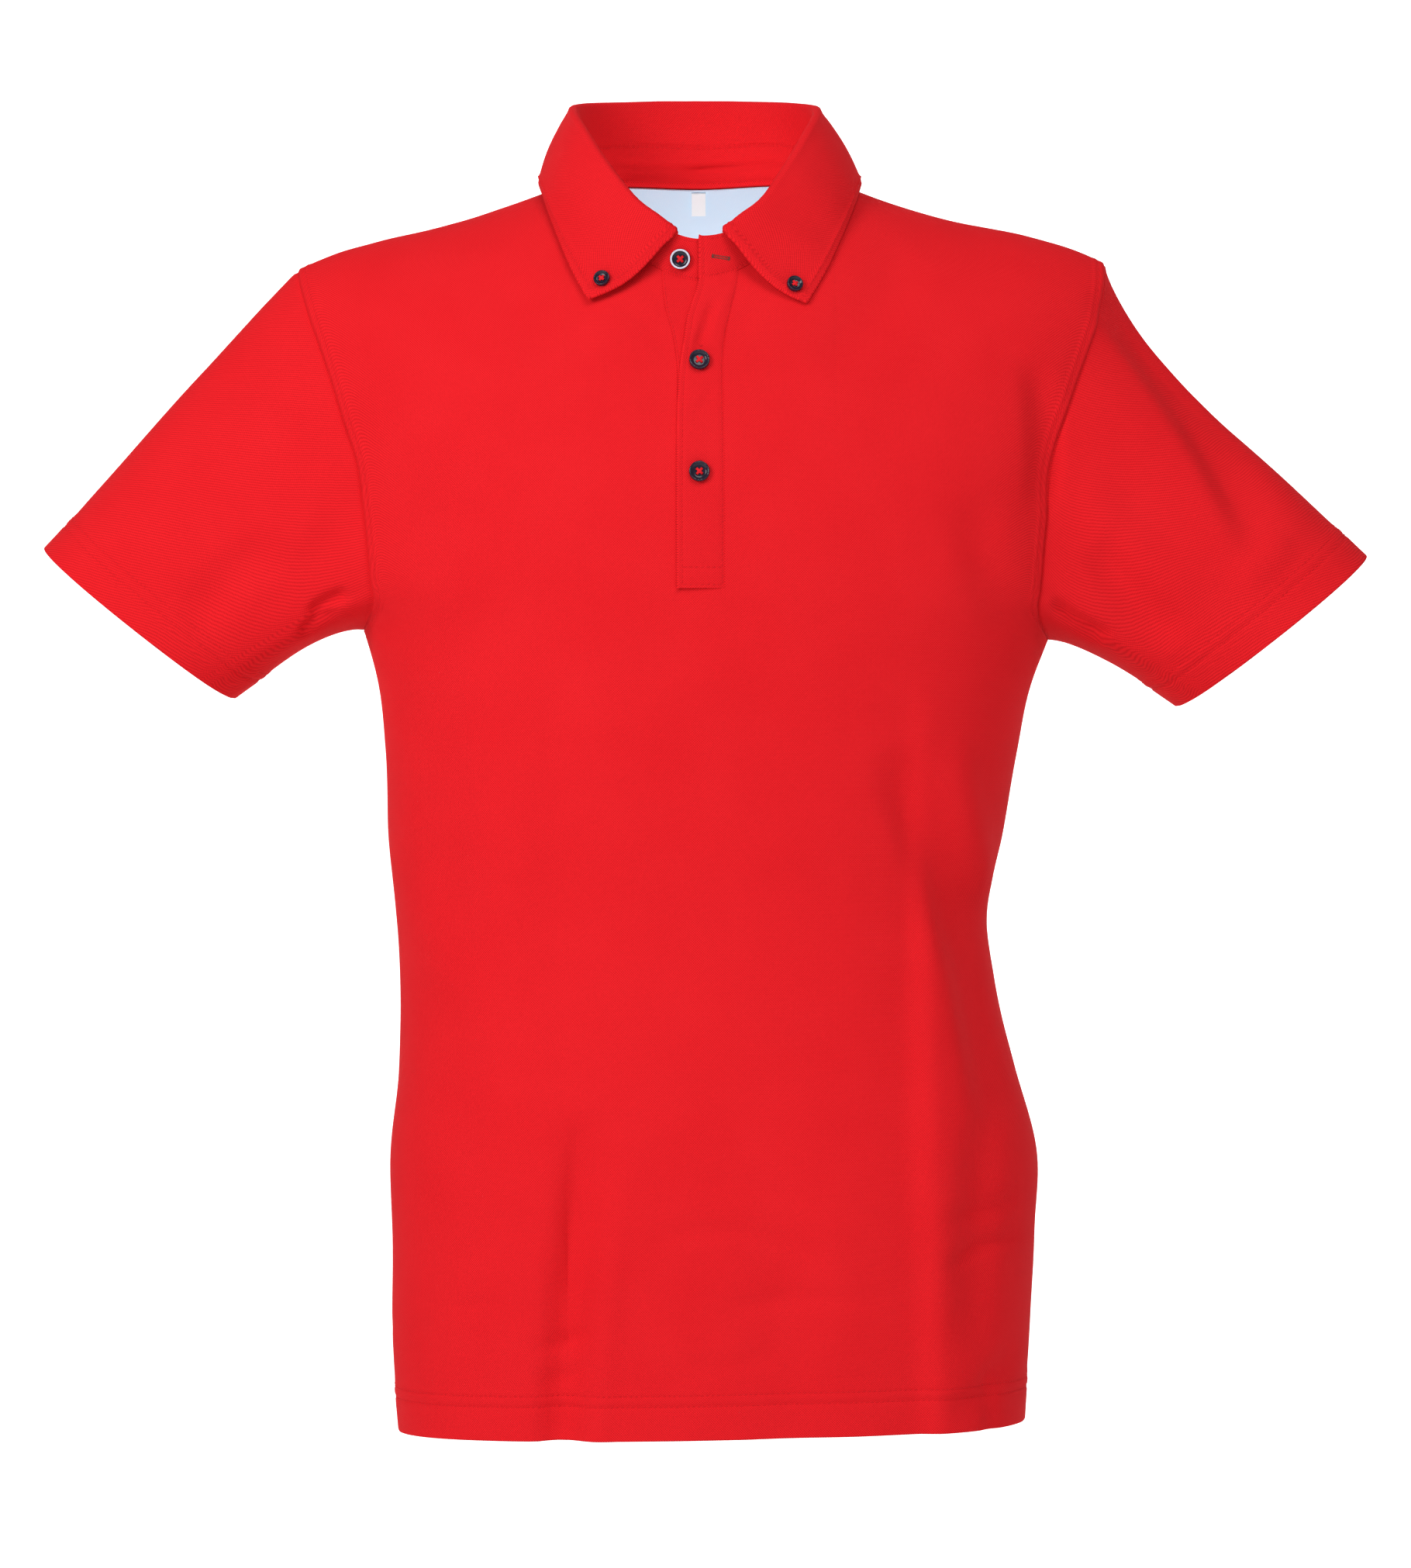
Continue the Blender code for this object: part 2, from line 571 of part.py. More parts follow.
def leaf_section(base, neck_point):
    """The collar's section above one station: up from the neckband, over the roll, down to the outer edge."""
    side = -1.0 if neck_point[0] < 0 else 1.0
    angle = math.degrees(neck_angle(neck_point))
    values = (read(COLLAR, "angle", name, angle) for name in Leaf._fields[1:])
    roll, edge_x, edge_y, edge_z, bow, bulge = values
    near = min(1.0, max(0.0, (POINT_HANG_END - angle) / (POINT_HANG_END - COLLAR[0].angle)))
    edge_x += POINT_HANG[side][0] * near
    edge_z += POINT_HANG[side][1] * near
    face = -1 if base[1] < 0 else 1
    out = unit([base[0] / STAND_TOP_WIDTH**2, base[1] / STAND_TOP_DEPTH[face] ** 2, 0.0])
    up = np.array([0.0, 0.0, 1.0])
    rise = max(LEAST_RISE, roll - ROLL_RADIUS - base[2])
    risen = min(1.0, rise / FULL_RISE)
    inward = -RISE_TAPER * risen * np.array([base[0], base[1], 0.0])
    turn = base + up * rise + inward - np.array([COLLAR_LEAN * risen, 0.0, 0.0])
    centre = turn + out * ROLL_RADIUS
    section = [base, base + (turn - base) / 2]
    for i in range(ROLL_STEPS + 1):
        a = math.pi * (1.0 - i / ROLL_STEPS)
        section.append(centre + out * math.cos(a) * ROLL_RADIUS + up * math.sin(a) * ROLL_RADIUS)
    start = section[-1]
    end = np.array([side * edge_x, edge_y, edge_z])
    fall = end - start
    down = unit(np.cross(fall, np.cross(out, fall))) if bow else out
    sag = unit(np.array([side * BOW_WAY[0], 0.0, BOW_WAY[1]]))
    for i in range(1, FALL_STEPS + 1):
        share = i / FALL_STEPS
        hump, bend = math.sin(math.pi * share), math.sin(math.pi * share**BOW_PEAK)
        section.append(start + fall * share + down * bulge * hump + sag * bow * bend)
    return section


def down_column(line, distance):
    """The point at a distance along a line of points, from its first."""
    steps = np.linalg.norm(np.diff(line, axis=0), axis=1)
    travelled = np.concatenate([[0.0], np.cumsum(steps)])
    return np.array([np.interp(distance, travelled, line[:, axis]) for axis in range(3)])


def inner_patch(panel_columns, places, rows, drop_at, inset):
    """A patch inside a panel: at each place between its columns, from its top down by the drop there."""
    grid = []
    for share in np.linspace(1.0, 0.0, rows + 1):
        row = []
        for place in places:
            j = min(int(place), len(panel_columns) - 2)
            pair = panel_columns[j:j + 2]
            x = pair[0][0][0] + (pair[1][0][0] - pair[0][0][0]) * (place - j)
            distance = NECK_CLEARANCE + (drop_at(x) - NECK_CLEARANCE) * share
            ends = [down_column(line, distance) for line in pair]
            row.append(ends[0] + (ends[1] - ends[0]) * (place - j))
        grid.append(row)
    guide = Sheet("guide", grid, 0.0, flip=True)
    return (guide.points - guide.normals * inset).reshape(len(grid), len(places), 3)


def lining_drop(x):
    """How far the half-moon reaches down at x."""
    arc = math.sqrt(max(0.0, 1.0 - (x / LINING_HALF_WIDTH) ** 2))
    return LINING_LEAST + (LINING_DROP - LINING_LEAST) * arc


def new_material(name, colour, roughness, metallic=0.0):
    """A Principled material."""
    material = bpy.data.materials.new(name)
    material.use_nodes = True
    shader = material.node_tree.nodes["Principled BSDF"]
    shader.inputs["Base Color"].default_value = colour
    shader.inputs["Roughness"].default_value = roughness
    shader.inputs["Metallic"].default_value = metallic
    material.diffuse_color = colour
    return material


def new_collection(name):
    """A collection under the scene's own."""
    collection = bpy.data.collections.new(name)
    bpy.context.scene.collection.children.link(collection)
    return collection


def clear_scene():
    """Removes what the scene holds."""
    for thing in list(bpy.data.objects):
        bpy.data.objects.remove(thing, do_unlink=True)


def add_sheet(sheet, collection, colour, roughness):
    """Adds a cloth piece's solid as an object with its own material."""
    piece = bpy.data.objects.new(sheet.name, walled_mesh(sheet))
    piece.data.materials.append(new_material(f"{sheet.name}_cloth", colour, roughness))
    collection.objects.link(piece)
    return piece


def add_button(name, diameter, seat, normal, parts, cutters):
    """A dished four-hole button, turned from its profile and set with its back on the seat."""
    radius, thick = diameter / 2, BUTTON_THICKNESS
    profile = [(radius * out, 0.0, thick * up) for out, up in BUTTON_PROFILE]
    mesh = bpy.data.meshes.new(name)
    mesh.from_pydata(profile, [(i, i + 1) for i in range(len(profile) - 1)], [])
    button = bpy.data.objects.new(name, mesh)
    parts.objects.link(button)
    turn = button.modifiers.new("Turned", "SCREW")
    turn.steps = turn.render_steps = BUTTON_STEPS
    turn.use_merge_vertices = True
    turn.merge_threshold = 0.00001
    turn.use_smooth_shade = True
    mesh.materials.append(new_material(f"{name}_resin", BUTTON_NAVY, RESIN_ROUGHNESS))
    facing = Vector((0.0, 0.0, 1.0)).rotation_difference(Vector(normal)).to_matrix().to_4x4()
    button.matrix_world = Matrix.Translation(Vector(seat) + Vector(normal) * BUTTON_CLEARANCE) @ facing
    spacing, hole = radius * HOLE_SPACING, radius * HOLE_RADIUS
    tool = bmesh.new()
    for x in (-spacing, spacing):
        for y in (-spacing, spacing):
            bmesh.ops.create_cone(
                tool, cap_ends=True, segments=HOLE_SIDES, radius1=hole, radius2=hole, depth=thick * 4,
                matrix=Matrix.Translation((x, y, thick / 2)),
            )
    cutter_mesh = bpy.data.meshes.new(f"{name}_holes")
    tool.to_mesh(cutter_mesh)
    tool.free()
    cutter = bpy.data.objects.new(f"{name}_holes", cutter_mesh)
    cutters.objects.link(cutter)
    cutter.matrix_world = button.matrix_world
    cutter.hide_render = True
    cutter.display_type = "WIRE"
    cut = button.modifiers.new("Thread holes", "BOOLEAN")
    cut.operation = "DIFFERENCE"
    cut.solver = "EXACT"
    cut.object = cutter
    return button


def seat_on(sheet, x, z, facing):
    """The outer face of a sheet at x and z in the front view, and its normal there."""
    best = None
    for quad in sheet.quads:
        for trio in ((quad[0], quad[1], quad[2]), (quad[0], quad[2], quad[3])):
            a, b, c = (sheet.points[k] for k in trio)
            area = (b[0] - a[0]) * (c[2] - a[2]) - (c[0] - a[0]) * (b[2] - a[2])
            if abs(area) < 1e-12:
                continue
            v = ((x - a[0]) * (c[2] - a[2]) - (c[0] - a[0]) * (z - a[2])) / area
            w = ((b[0] - a[0]) * (z - a[2]) - (x - a[0]) * (b[2] - a[2])) / area
            if min(v, w, 1 - v - w) < -1e-9:
                continue
            point = a + v * (b - a) + w * (c - a)
            corners = [sheet.normals[k] for k in trio]
            normal = unit((1 - v - w) * corners[0] + v * corners[1] + w * corners[2])
            if normal @ facing < 0:
                normal = -normal
            if best is None or point @ facing > best[0] @ facing:
                best = (point, normal)
    point, normal = best
    return point + normal * sheet.wall / 2, normal


def body_panels():
    """The front, with its slot left open, and the back."""
    front_grid = panel_grid(-1)
    first_row = BODY_LEVELS + TURN[-1].levels.index(SLOT_BOTTOM) + 1
    first_column = SIDE_COLUMNS + NECK_COLUMNS
    slot = {(i, j) for i in range(first_row, len(front_grid) - 1) for j in (first_column, first_column + 1)}
    front = Sheet("front_panel", front_grid, PIQUE_WALL, skip=slot)
    return front, Sheet("back_panel", panel_grid(1), PIQUE_WALL, flip=True)


def plackets():
    """The placket's upper and lower layers in the front's slot."""
    levels, shares = panel_rows(-1)
    slot_levels = [height for height in levels if height >= SLOT_BOTTOM]
    base_rows = [("level", height) for height in slot_levels] + [("rise", share) for share in shares]
    seam = next(row for row in SLOT if row.height == NECK_SEAM_FRONT)
    over_xs = [seam.over_seam, COLLAR_END, OVER_MIDDLE, seam.over_edge]
    under_xs = [seam.under_seam, -COLLAR_END, UNDER_MIDDLE, seam.under_edge]
    over = placket_grid(base_rows, "over_seam", "over_edge", PLACKET_LIFT, over_xs)
    under = placket_grid(base_rows, "under_seam", "under_edge", -PLACKET_LIFT, under_xs)
    return Sheet("placket_over", over, PLACKET_WALL, flip=True), Sheet("placket_under", under, PLACKET_WALL)


def neckband_and_leaf(front, back, over, under):
    """The neckband on the neck seam from placket end to placket end, and the collar turned down over it."""
    top, first = front.row(-1), SIDE_COLUMNS
    left = top[first:first + NECK_COLUMNS][::-1]
    right = top[first + NECK_COLUMNS + 3:first + 2 * NECK_COLUMNS + 3]
    behind = back.row(-1)[first + 1:first + BACK_NECK_COLUMNS]
    neck = np.vstack([under.row(-1)[::-1], left, behind, right[::-1], over.row(-1)])
    tops = np.array([stand_top(point) for point in neck])
    stand_grid = [neck + (tops - neck) * i / STAND_ROWS for i in range(STAND_ROWS + 1)]
    past = len(over.row(-1)) - 2
    sections = [leaf_section(tops[k], neck[k]) for k in range(past, len(neck) - past)]
    stand = Sheet("collar_stand", stand_grid, STAND_WALL, flip=True)
    return stand, Sheet("collar_leaf", np.swapaxes(np.array(sections), 0, 1), COLLAR_WALL, flip=True)


def lining_and_label(back):
    """The half-moon inside the back, and the label inside the half-moon."""
    inset = PIQUE_WALL / 2 + LINING_GAP + LINING_WALL / 2
    columns = [back.column(SIDE_COLUMNS + j)[::-1] for j in range(BACK_NECK_COLUMNS + 1)]
    patch = inner_patch(columns, range(1, BACK_NECK_COLUMNS), LINING_ROWS, lining_drop, inset)
    lining = Sheet("neck_lining", patch, LINING_WALL, flip=True)
    inset = LINING_WALL / 2 + SEAM_GAP + LABEL_WALL / 2
    columns = [lining.column(j)[::-1] for j in range(BACK_NECK_COLUMNS - 1)]
    middle = len(columns) // 2
    spacing = columns[middle + 1][0][0] - columns[middle][0][0]
    places = [middle + (LABEL_X + LABEL_WIDTH * share) / spacing for share in (-0.5, 0.0, 0.5)]
    patch = inner_patch(columns, places, LABEL_ROWS, lambda x: LABEL_LENGTH, inset)
    return lining, Sheet("label", patch, LABEL_WALL, flip=True)


def add_buttons(stand, over, leaf, parts, cutters):
    """Seats the five buttons on the cloth that they fasten."""
    ahead = np.array([0.0, -1.0, 0.0])
    stand_z = over.row(-1)[-1][2] + STAND_HEIGHT * STAND_BUTTON_SHARE
    places = [("button_stand", FRONT_BUTTON, stand, STAND_BUTTON_X, stand_z)]
    places += [(f"button_placket_{i + 1}", FRONT_BUTTON, over, PLACKET_BUTTON_X, z)
               for i, z in enumerate(PLACKET_BUTTON_HEIGHTS)]
    places += [(f"button_collar_{b.side}", COLLAR_BUTTON, leaf, b.x, b.height) for b in COLLAR_BUTTONS]
    for name, diameter, sheet, x, z in places:
        seat, normal = seat_on(sheet, x, z, ahead)
        add_button(name, diameter, seat, normal, parts, cutters)


def main():
    clear_scene()
    parts, cutters = new_collection("polo_shirt"), new_collection("cutters")
    front, back = body_panels()
    left = Sheet("sleeve_left", sleeve_grid(-1, front, back), PIQUE_WALL, closed=True, flip=True)
    right = Sheet("sleeve_right", sleeve_grid(1, front, back), PIQUE_WALL, closed=True)
    over, under = plackets()
    stand, leaf = neckband_and_leaf(front, back, over, under)
    lining, label = lining_and_label(back)
    red_cloth = [front, back, left, right, over, under, stand, leaf]
    for sheet in red_cloth:
        sheet.fold([fold for fold in FOLDS if fold.piece == sheet.name])
    share_seams([*red_cloth, lining, label])
    for sheet in red_cloth:
        add_sheet(sheet, parts, RED, PIQUE_ROUGHNESS)
    add_sheet(lining, parts, LINING_BLUE, LINING_ROUGHNESS)
    add_sheet(label, parts, LABEL_WHITE, LABEL_ROUGHNESS)
    add_buttons(stand, over, leaf, parts, cutters)


main()
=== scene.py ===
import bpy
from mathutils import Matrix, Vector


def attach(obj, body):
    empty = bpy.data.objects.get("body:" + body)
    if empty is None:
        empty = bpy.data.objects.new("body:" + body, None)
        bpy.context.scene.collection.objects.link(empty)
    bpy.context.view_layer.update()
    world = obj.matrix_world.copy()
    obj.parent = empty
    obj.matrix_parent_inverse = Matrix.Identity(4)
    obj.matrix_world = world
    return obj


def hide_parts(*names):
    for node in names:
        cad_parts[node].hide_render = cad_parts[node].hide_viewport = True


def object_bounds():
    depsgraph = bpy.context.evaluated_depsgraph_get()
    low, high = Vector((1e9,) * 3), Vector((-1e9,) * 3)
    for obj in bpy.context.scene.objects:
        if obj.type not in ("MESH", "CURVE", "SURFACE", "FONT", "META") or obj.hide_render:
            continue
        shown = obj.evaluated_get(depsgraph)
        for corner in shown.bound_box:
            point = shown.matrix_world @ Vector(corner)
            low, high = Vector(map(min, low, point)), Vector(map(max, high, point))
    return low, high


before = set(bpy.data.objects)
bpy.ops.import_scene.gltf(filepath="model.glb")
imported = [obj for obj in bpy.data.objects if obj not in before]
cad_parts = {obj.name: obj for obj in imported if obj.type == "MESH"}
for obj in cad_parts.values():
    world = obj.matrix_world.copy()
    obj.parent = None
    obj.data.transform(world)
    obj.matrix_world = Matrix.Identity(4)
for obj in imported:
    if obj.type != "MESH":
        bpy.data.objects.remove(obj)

"""The looks of a red pique polo shirt: cloth shells on the solids' form, with folds, sewing and buttons."""

import math
from bisect import bisect_left
from collections import namedtuple

import bmesh
import bpy
import numpy as np
from bpy.props import FloatProperty, FloatVectorProperty, PointerProperty
from mathutils import Matrix, Vector, noise

bl_info = {
    "name": "Pique Polo Shirt",
    "version": (1, 0, 0),
    "blender": (4, 5, 0),
    "location": "View3D > Sidebar > Polo Shirt",
    "description": "Builds a short-sleeved polo shirt with its folds, seams, stitches and buttons",
    "category": "Object",
}

CAD_BOX = [list(corner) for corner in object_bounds()]

# The cut of the shirt, as in the solids: level sections, shoulder line, armholes and neck
HEM_HEIGHT = -0.7020
HEM_TILT = 0.017
UNDERARM_HEIGHT = -0.2550
UNDERARM_TURN = -0.2330
UNDERARM_TILT = 0.012
UNDERARM_REACH = 0.045
SQUARENESS = 2.4
BODY_LEVELS = 17

Section = namedtuple("Section", "height left right front back")
SECTIONS = [
    Section(-0.706, 0.1690, 0.1825, 0.1070, 0.1060),
    Section(-0.650, 0.1735, 0.1860, 0.1100, 0.1100),
    Section(-0.595, 0.1735, 0.1885, 0.1120, 0.1110),
    Section(-0.550, 0.1750, 0.1900, 0.1110, 0.1080),
    Section(-0.500, 0.1700, 0.1780, 0.1080, 0.1020),
    Section(-0.450, 0.1690, 0.1665, 0.1060, 0.0960),
    Section(-0.410, 0.1715, 0.1615, 0.1060, 0.0950),
    Section(-0.370, 0.1755, 0.1700, 0.1080, 0.0980),
    Section(-0.320, 0.1775, 0.1785, 0.1110, 0.1050),
    Section(-0.280, 0.1825, 0.1865, 0.1140, 0.1120),
    Section(-0.255, 0.1900, 0.1960, 0.1150, 0.1160),
    Section(-0.233, 0.2010, 0.2070, 0.1155, 0.1180),
    Section(-0.185, 0.2085, 0.2140, 0.1155, 0.1190),
    Section(-0.140, 0.2200, 0.2240, 0.1155, 0.1190),
    Section(-0.095, 0.2360, 0.2400, 0.1155, 0.1190),
    Section(-0.050, 0.2480, 0.2500, 0.1155, 0.1190),
    Section(0.020, 0.2600, 0.2600, 0.1155, 0.1190),
]

SHOULDER_TILT = 0.009
Ridge = namedtuple("Ridge", "reach height")
SHOULDER = [
    Ridge(-0.040, 0.0110),
    Ridge(0.000, 0.0140),
    Ridge(0.040, 0.0110),
    Ridge(0.075, 0.0000),
    Ridge(0.110, -0.0125),
    Ridge(0.145, -0.0228),
    Ridge(0.186, -0.0318),
    Ridge(0.209, -0.0384),
    Ridge(0.223, -0.0445),
    Ridge(0.232, -0.0500),
    Ridge(0.260, -0.0660),
]

Armhole = namedtuple("Armhole", "height left right")
ARMHOLE = [
    Armhole(-0.235, 0.1840, 0.1895),
    Armhole(-0.185, 0.1890, 0.1945),
    Armhole(-0.158, 0.1930, 0.1985),
    Armhole(-0.140, 0.1990, 0.2030),
    Armhole(-0.115, 0.2070, 0.2115),
    Armhole(-0.095, 0.2140, 0.2190),
    Armhole(-0.075, 0.2215, 0.2260),
    Armhole(-0.048, 0.2290, 0.2295),
    Armhole(-0.020, 0.2310, 0.2310),
]

Turn = namedtuple("Turn", "start power rows levels")
TURN = {
    -1: Turn(-0.2200, 1.80, 10, (-0.2525, -0.2460, -0.2320, -0.2200)),
    1: Turn(-0.1500, 2.55, 8, (-0.2525, -0.2460, -0.2320, -0.2060, -0.1790, -0.1500)),
}
SEAM_TRIES = 12
SIDE_COLUMNS = 7
NECK_COLUMNS = 6
BACK_NECK_COLUMNS = 10

NECK_HALF_WIDTH = 0.0750
NECK_DEPTH = {-1: 0.0780, 1: 0.0570}
NECK_SEAM_FRONT = -0.0580
SLOT_BOTTOM = -0.2320
PLACKET_LIFT = 0.0020

Slot = namedtuple("Slot", "height under_seam over_seam over_edge under_edge")
SLOT = [
    Slot(-0.235, -0.0124, 0.0136, -0.0120, 0.0118),
    Slot(-0.150, -0.0124, 0.0134, -0.0120, 0.0118),
    Slot(-0.125, -0.0126, 0.0131, -0.0116, 0.0114),
    Slot(-0.106, -0.0132, 0.0130, -0.0104, 0.0105),
    Slot(-0.090, -0.0158, 0.0146, -0.0082, 0.0085),
    Slot(-0.076, -0.0196, 0.0178, -0.0060, 0.0060),
    Slot(NECK_SEAM_FRONT, -0.0214, 0.0214, -0.0005, 0.0040),
    Slot(-0.040, -0.0218, 0.0222, 0.0010, 0.0040),
]
COLLAR_END = 0.0142
OVER_MIDDLE = 0.0068
UNDER_MIDDLE = -0.0050
SLOT_GUIDE_X = 0.0200

STAND_HEIGHT = 0.0235
STAND_TOP_WIDTH = 0.0690
STAND_TOP_DEPTH = {-1: 0.0785, 1: 0.0590}
ROLL_RADIUS = 0.0022
LEAST_RISE = 0.0010
ROLL_STEPS = 4
FALL_STEPS = 6
COLLAR_LEAN = 0.0030
RISE_TAPER = 0.030
FULL_RISE = 0.017
BOW_WAY = (-0.62, -0.78)
BOW_PEAK = 1.3
# How far each collar point hangs in and down, fading out round the neck
POINT_HANG = {-1: (0.0, 0.0), 1: (-0.0032, -0.0028)}
POINT_HANG_END = 60.0

Leaf = namedtuple("Leaf", "angle roll edge_x edge_y edge_z bow bulge")
COLLAR = [
    Leaf(10, -0.0330, 0.0612, -0.0850, -0.0708, 0.0055, 0.0010),
    Leaf(17, -0.0255, 0.0660, -0.0790, -0.0625, 0.0038, 0.0010),
    Leaf(29, -0.0150, 0.0722, -0.0710, -0.0505, 0.0016, 0.0012),
    Leaf(41, 0.0005, 0.0775, -0.0610, -0.0380, 0.0005, 0.0014),
    Leaf(53, 0.0155, 0.0825, -0.0490, -0.0250, 0.0000, 0.0016),
    Leaf(66, 0.0290, 0.0872, -0.0330, -0.0115, 0.0000, 0.0018),
    Leaf(78, 0.0375, 0.0902, -0.0150, -0.0025, 0.0000, 0.0020),
    Leaf(90, 0.0430, 0.0910, 0.0020, 0.0015, 0.0000, 0.0022),
    Leaf(108, 0.0465, 0.0860, 0.0270, 0.0020, 0.0000, 0.0026),
    Leaf(126, 0.0488, 0.0735, 0.0460, 0.0020, 0.0000, 0.0028),
    Leaf(144, 0.0505, 0.0535, 0.0600, 0.0022, 0.0000, 0.0030),
    Leaf(162, 0.0518, 0.0280, 0.0680, 0.0025, 0.0000, 0.0030),
    Leaf(180, 0.0522, 0.0000, 0.0710, 0.0028, 0.0000, 0.0030),
]

CUFF_DEPTH = 0.0480
CUFF_SQUARENESS = 2.15
CUFF_BULGE = {-1: 0.0038, 1: 0.0012}
ARCH_PEAK = 0.70
DIP_PEAK = 0.60
Cuff = namedtuple("Cuff", "upper lower arch dip")
CUFF = {
    -1: Cuff((-0.3710, -0.2060), (-0.2645, -0.2900), 0.0080, -0.0010),
    1: Cuff((0.3765, -0.2110), (0.2700, -0.2950), 0.0060, 0.0105),
}

LINING_DROP = 0.0800
LINING_LEAST = 0.0060
LINING_HALF_WIDTH = 0.0715
LINING_GAP = 0.0006
LABEL_WIDTH = 0.0080
LABEL_LENGTH = 0.0220
LABEL_X = -0.0010
LABEL_INSET = 0.0011
NECK_CLEARANCE = 0.0016

WALL = {
    "front_panel": 0.0013, "back_panel": 0.0013, "sleeve_left": 0.0013, "sleeve_right": 0.0013,
    "placket_over": 0.0018, "placket_under": 0.0016, "collar_stand": 0.0022, "collar_leaf": 0.0021,
    "neck_lining": 0.0008, "label": 0.0007,
}

# Creases as lines in the front view: a trough has a depth below zero, lean makes one side the steeper
Crease = namedtuple("Crease", "face x0 z0 x1 z1 bow width depth lean", defaults=(0.0,))
BODY_CREASES = [
    Crease(-1, -0.112, -0.275, -0.100, -0.590, 0.004, 0.034, 0.0035),
    Crease(-1, -0.064, -0.520, -0.083, -0.800, 0.004, 0.022, -0.0078, 0.4),
    Crease(-1, -0.050, -0.560, -0.062, -0.800, 0.002, 0.016, 0.0026),
    Crease(-1, 0.126, -0.270, 0.138, -0.800, 0.004, 0.034, 0.0060, 0.6),
    Crease(-1, 0.158, -0.520, 0.150, -0.660, 0.003, 0.018, -0.0040),
    Crease(-1, 0.045, -0.560, 0.062, -0.790, 0.003, 0.034, -0.0025),
    Crease(-1, 0.134, -0.609, 0.180, -0.594, -0.004, 0.007, -0.0030),
    Crease(-1, 0.132, -0.580, 0.178, -0.572, 0.002, 0.006, -0.0020),
    Crease(-1, 0.134, -0.690, 0.176, -0.655, 0.004, 0.012, -0.0024),
    Crease(-1, -0.030, -0.592, 0.070, -0.604, -0.010, 0.009, -0.0012),
    Crease(-1, 0.010, -0.632, 0.104, -0.628, -0.006, 0.009, -0.0011),
    Crease(-1, 0.186, -0.100, 0.190, -0.190, -0.004, 0.015, -0.0042),
    Crease(-1, 0.150, -0.180, 0.176, -0.256, 0.004, 0.022, -0.0024),
    Crease(-1, -0.150, -0.170, -0.178, -0.262, -0.004, 0.022, -0.0020),
    Crease(-1, -0.120, -0.045, -0.060, -0.110, 0.006, 0.026, -0.0018),
    Crease(-1, 0.118, -0.040, 0.066, -0.110, -0.006, 0.026, -0.0018),
    Crease(-1, -0.013, -0.108, -0.045, -0.070, 0.003, 0.010, -0.0012),
    Crease(-1, 0.014, -0.104, 0.040, -0.066, -0.003, 0.010, -0.0012),
    Crease(-1, -0.160, -0.380, -0.120, -0.470, 0.006, 0.024, 0.0016),
    Crease(-1, 0.104, -0.320, 0.166, -0.540, -0.009, 0.024, -0.0078, 0.15),
    Crease(-1, 0.140, -0.310, 0.166, -0.420, 0.003, 0.016, 0.0030),
    Crease(-1, -0.094, -0.654, -0.060, -0.642, 0.001, 0.0065, -0.0018),
    Crease(-1, -0.090, -0.670, -0.064, -0.665, 0.001, 0.0060, -0.0013),
    Crease(-1, -0.138, -0.630, -0.110, -0.628, 0.001, 0.0060, -0.0011),
    Crease(-1, -0.176, -0.648, -0.150, -0.640, 0.001, 0.0070, -0.0014),
    Crease(-1, 0.158, -0.660, 0.161, -0.715, 0.001, 0.0070, -0.0016),
    Crease(-1, -0.006, -0.560, 0.060, -0.574, -0.004, 0.0100, -0.0009),
    Crease(-1, -0.022, -0.662, 0.046, -0.654, 0.004, 0.0090, -0.0010),
    Crease(1, -0.088, -0.300, -0.078, -0.620, 0.006, 0.030, -0.0060),
    Crease(1, 0.082, -0.310, 0.092, -0.640, -0.006, 0.030, -0.0065),
    Crease(1, 0.006, -0.420, -0.008, -0.800, 0.004, 0.040, 0.0040),
    Crease(1, -0.120, -0.560, -0.128, -0.800, 0.003, 0.026, -0.0045),
    Crease(1, 0.052, -0.590, 0.060, -0.800, 0.003, 0.028, -0.0040),
    Crease(1, -0.150, -0.140, -0.110, -0.250, 0.008, 0.026, -0.0026),
    Crease(1, 0.154, -0.135, 0.112, -0.260, -0.008, 0.026, -0.0028),
    Crease(1, -0.060, -0.060, -0.030, -0.180, 0.004, 0.024, -0.0018),
    Crease(1, 0.064, -0.058, 0.036, -0.170, -0.004, 0.024, -0.0018),
    Crease(1, 0.128, -0.470, 0.160, -0.560, 0.004, 0.018, -0.0026),
    Crease(1, -0.160, -0.410, -0.128, -0.500, 0.004, 0.020, -0.0024),
    Crease(1, -0.040, -0.655, 0.040, -0.640, 0.008, 0.014, -0.0010),
]
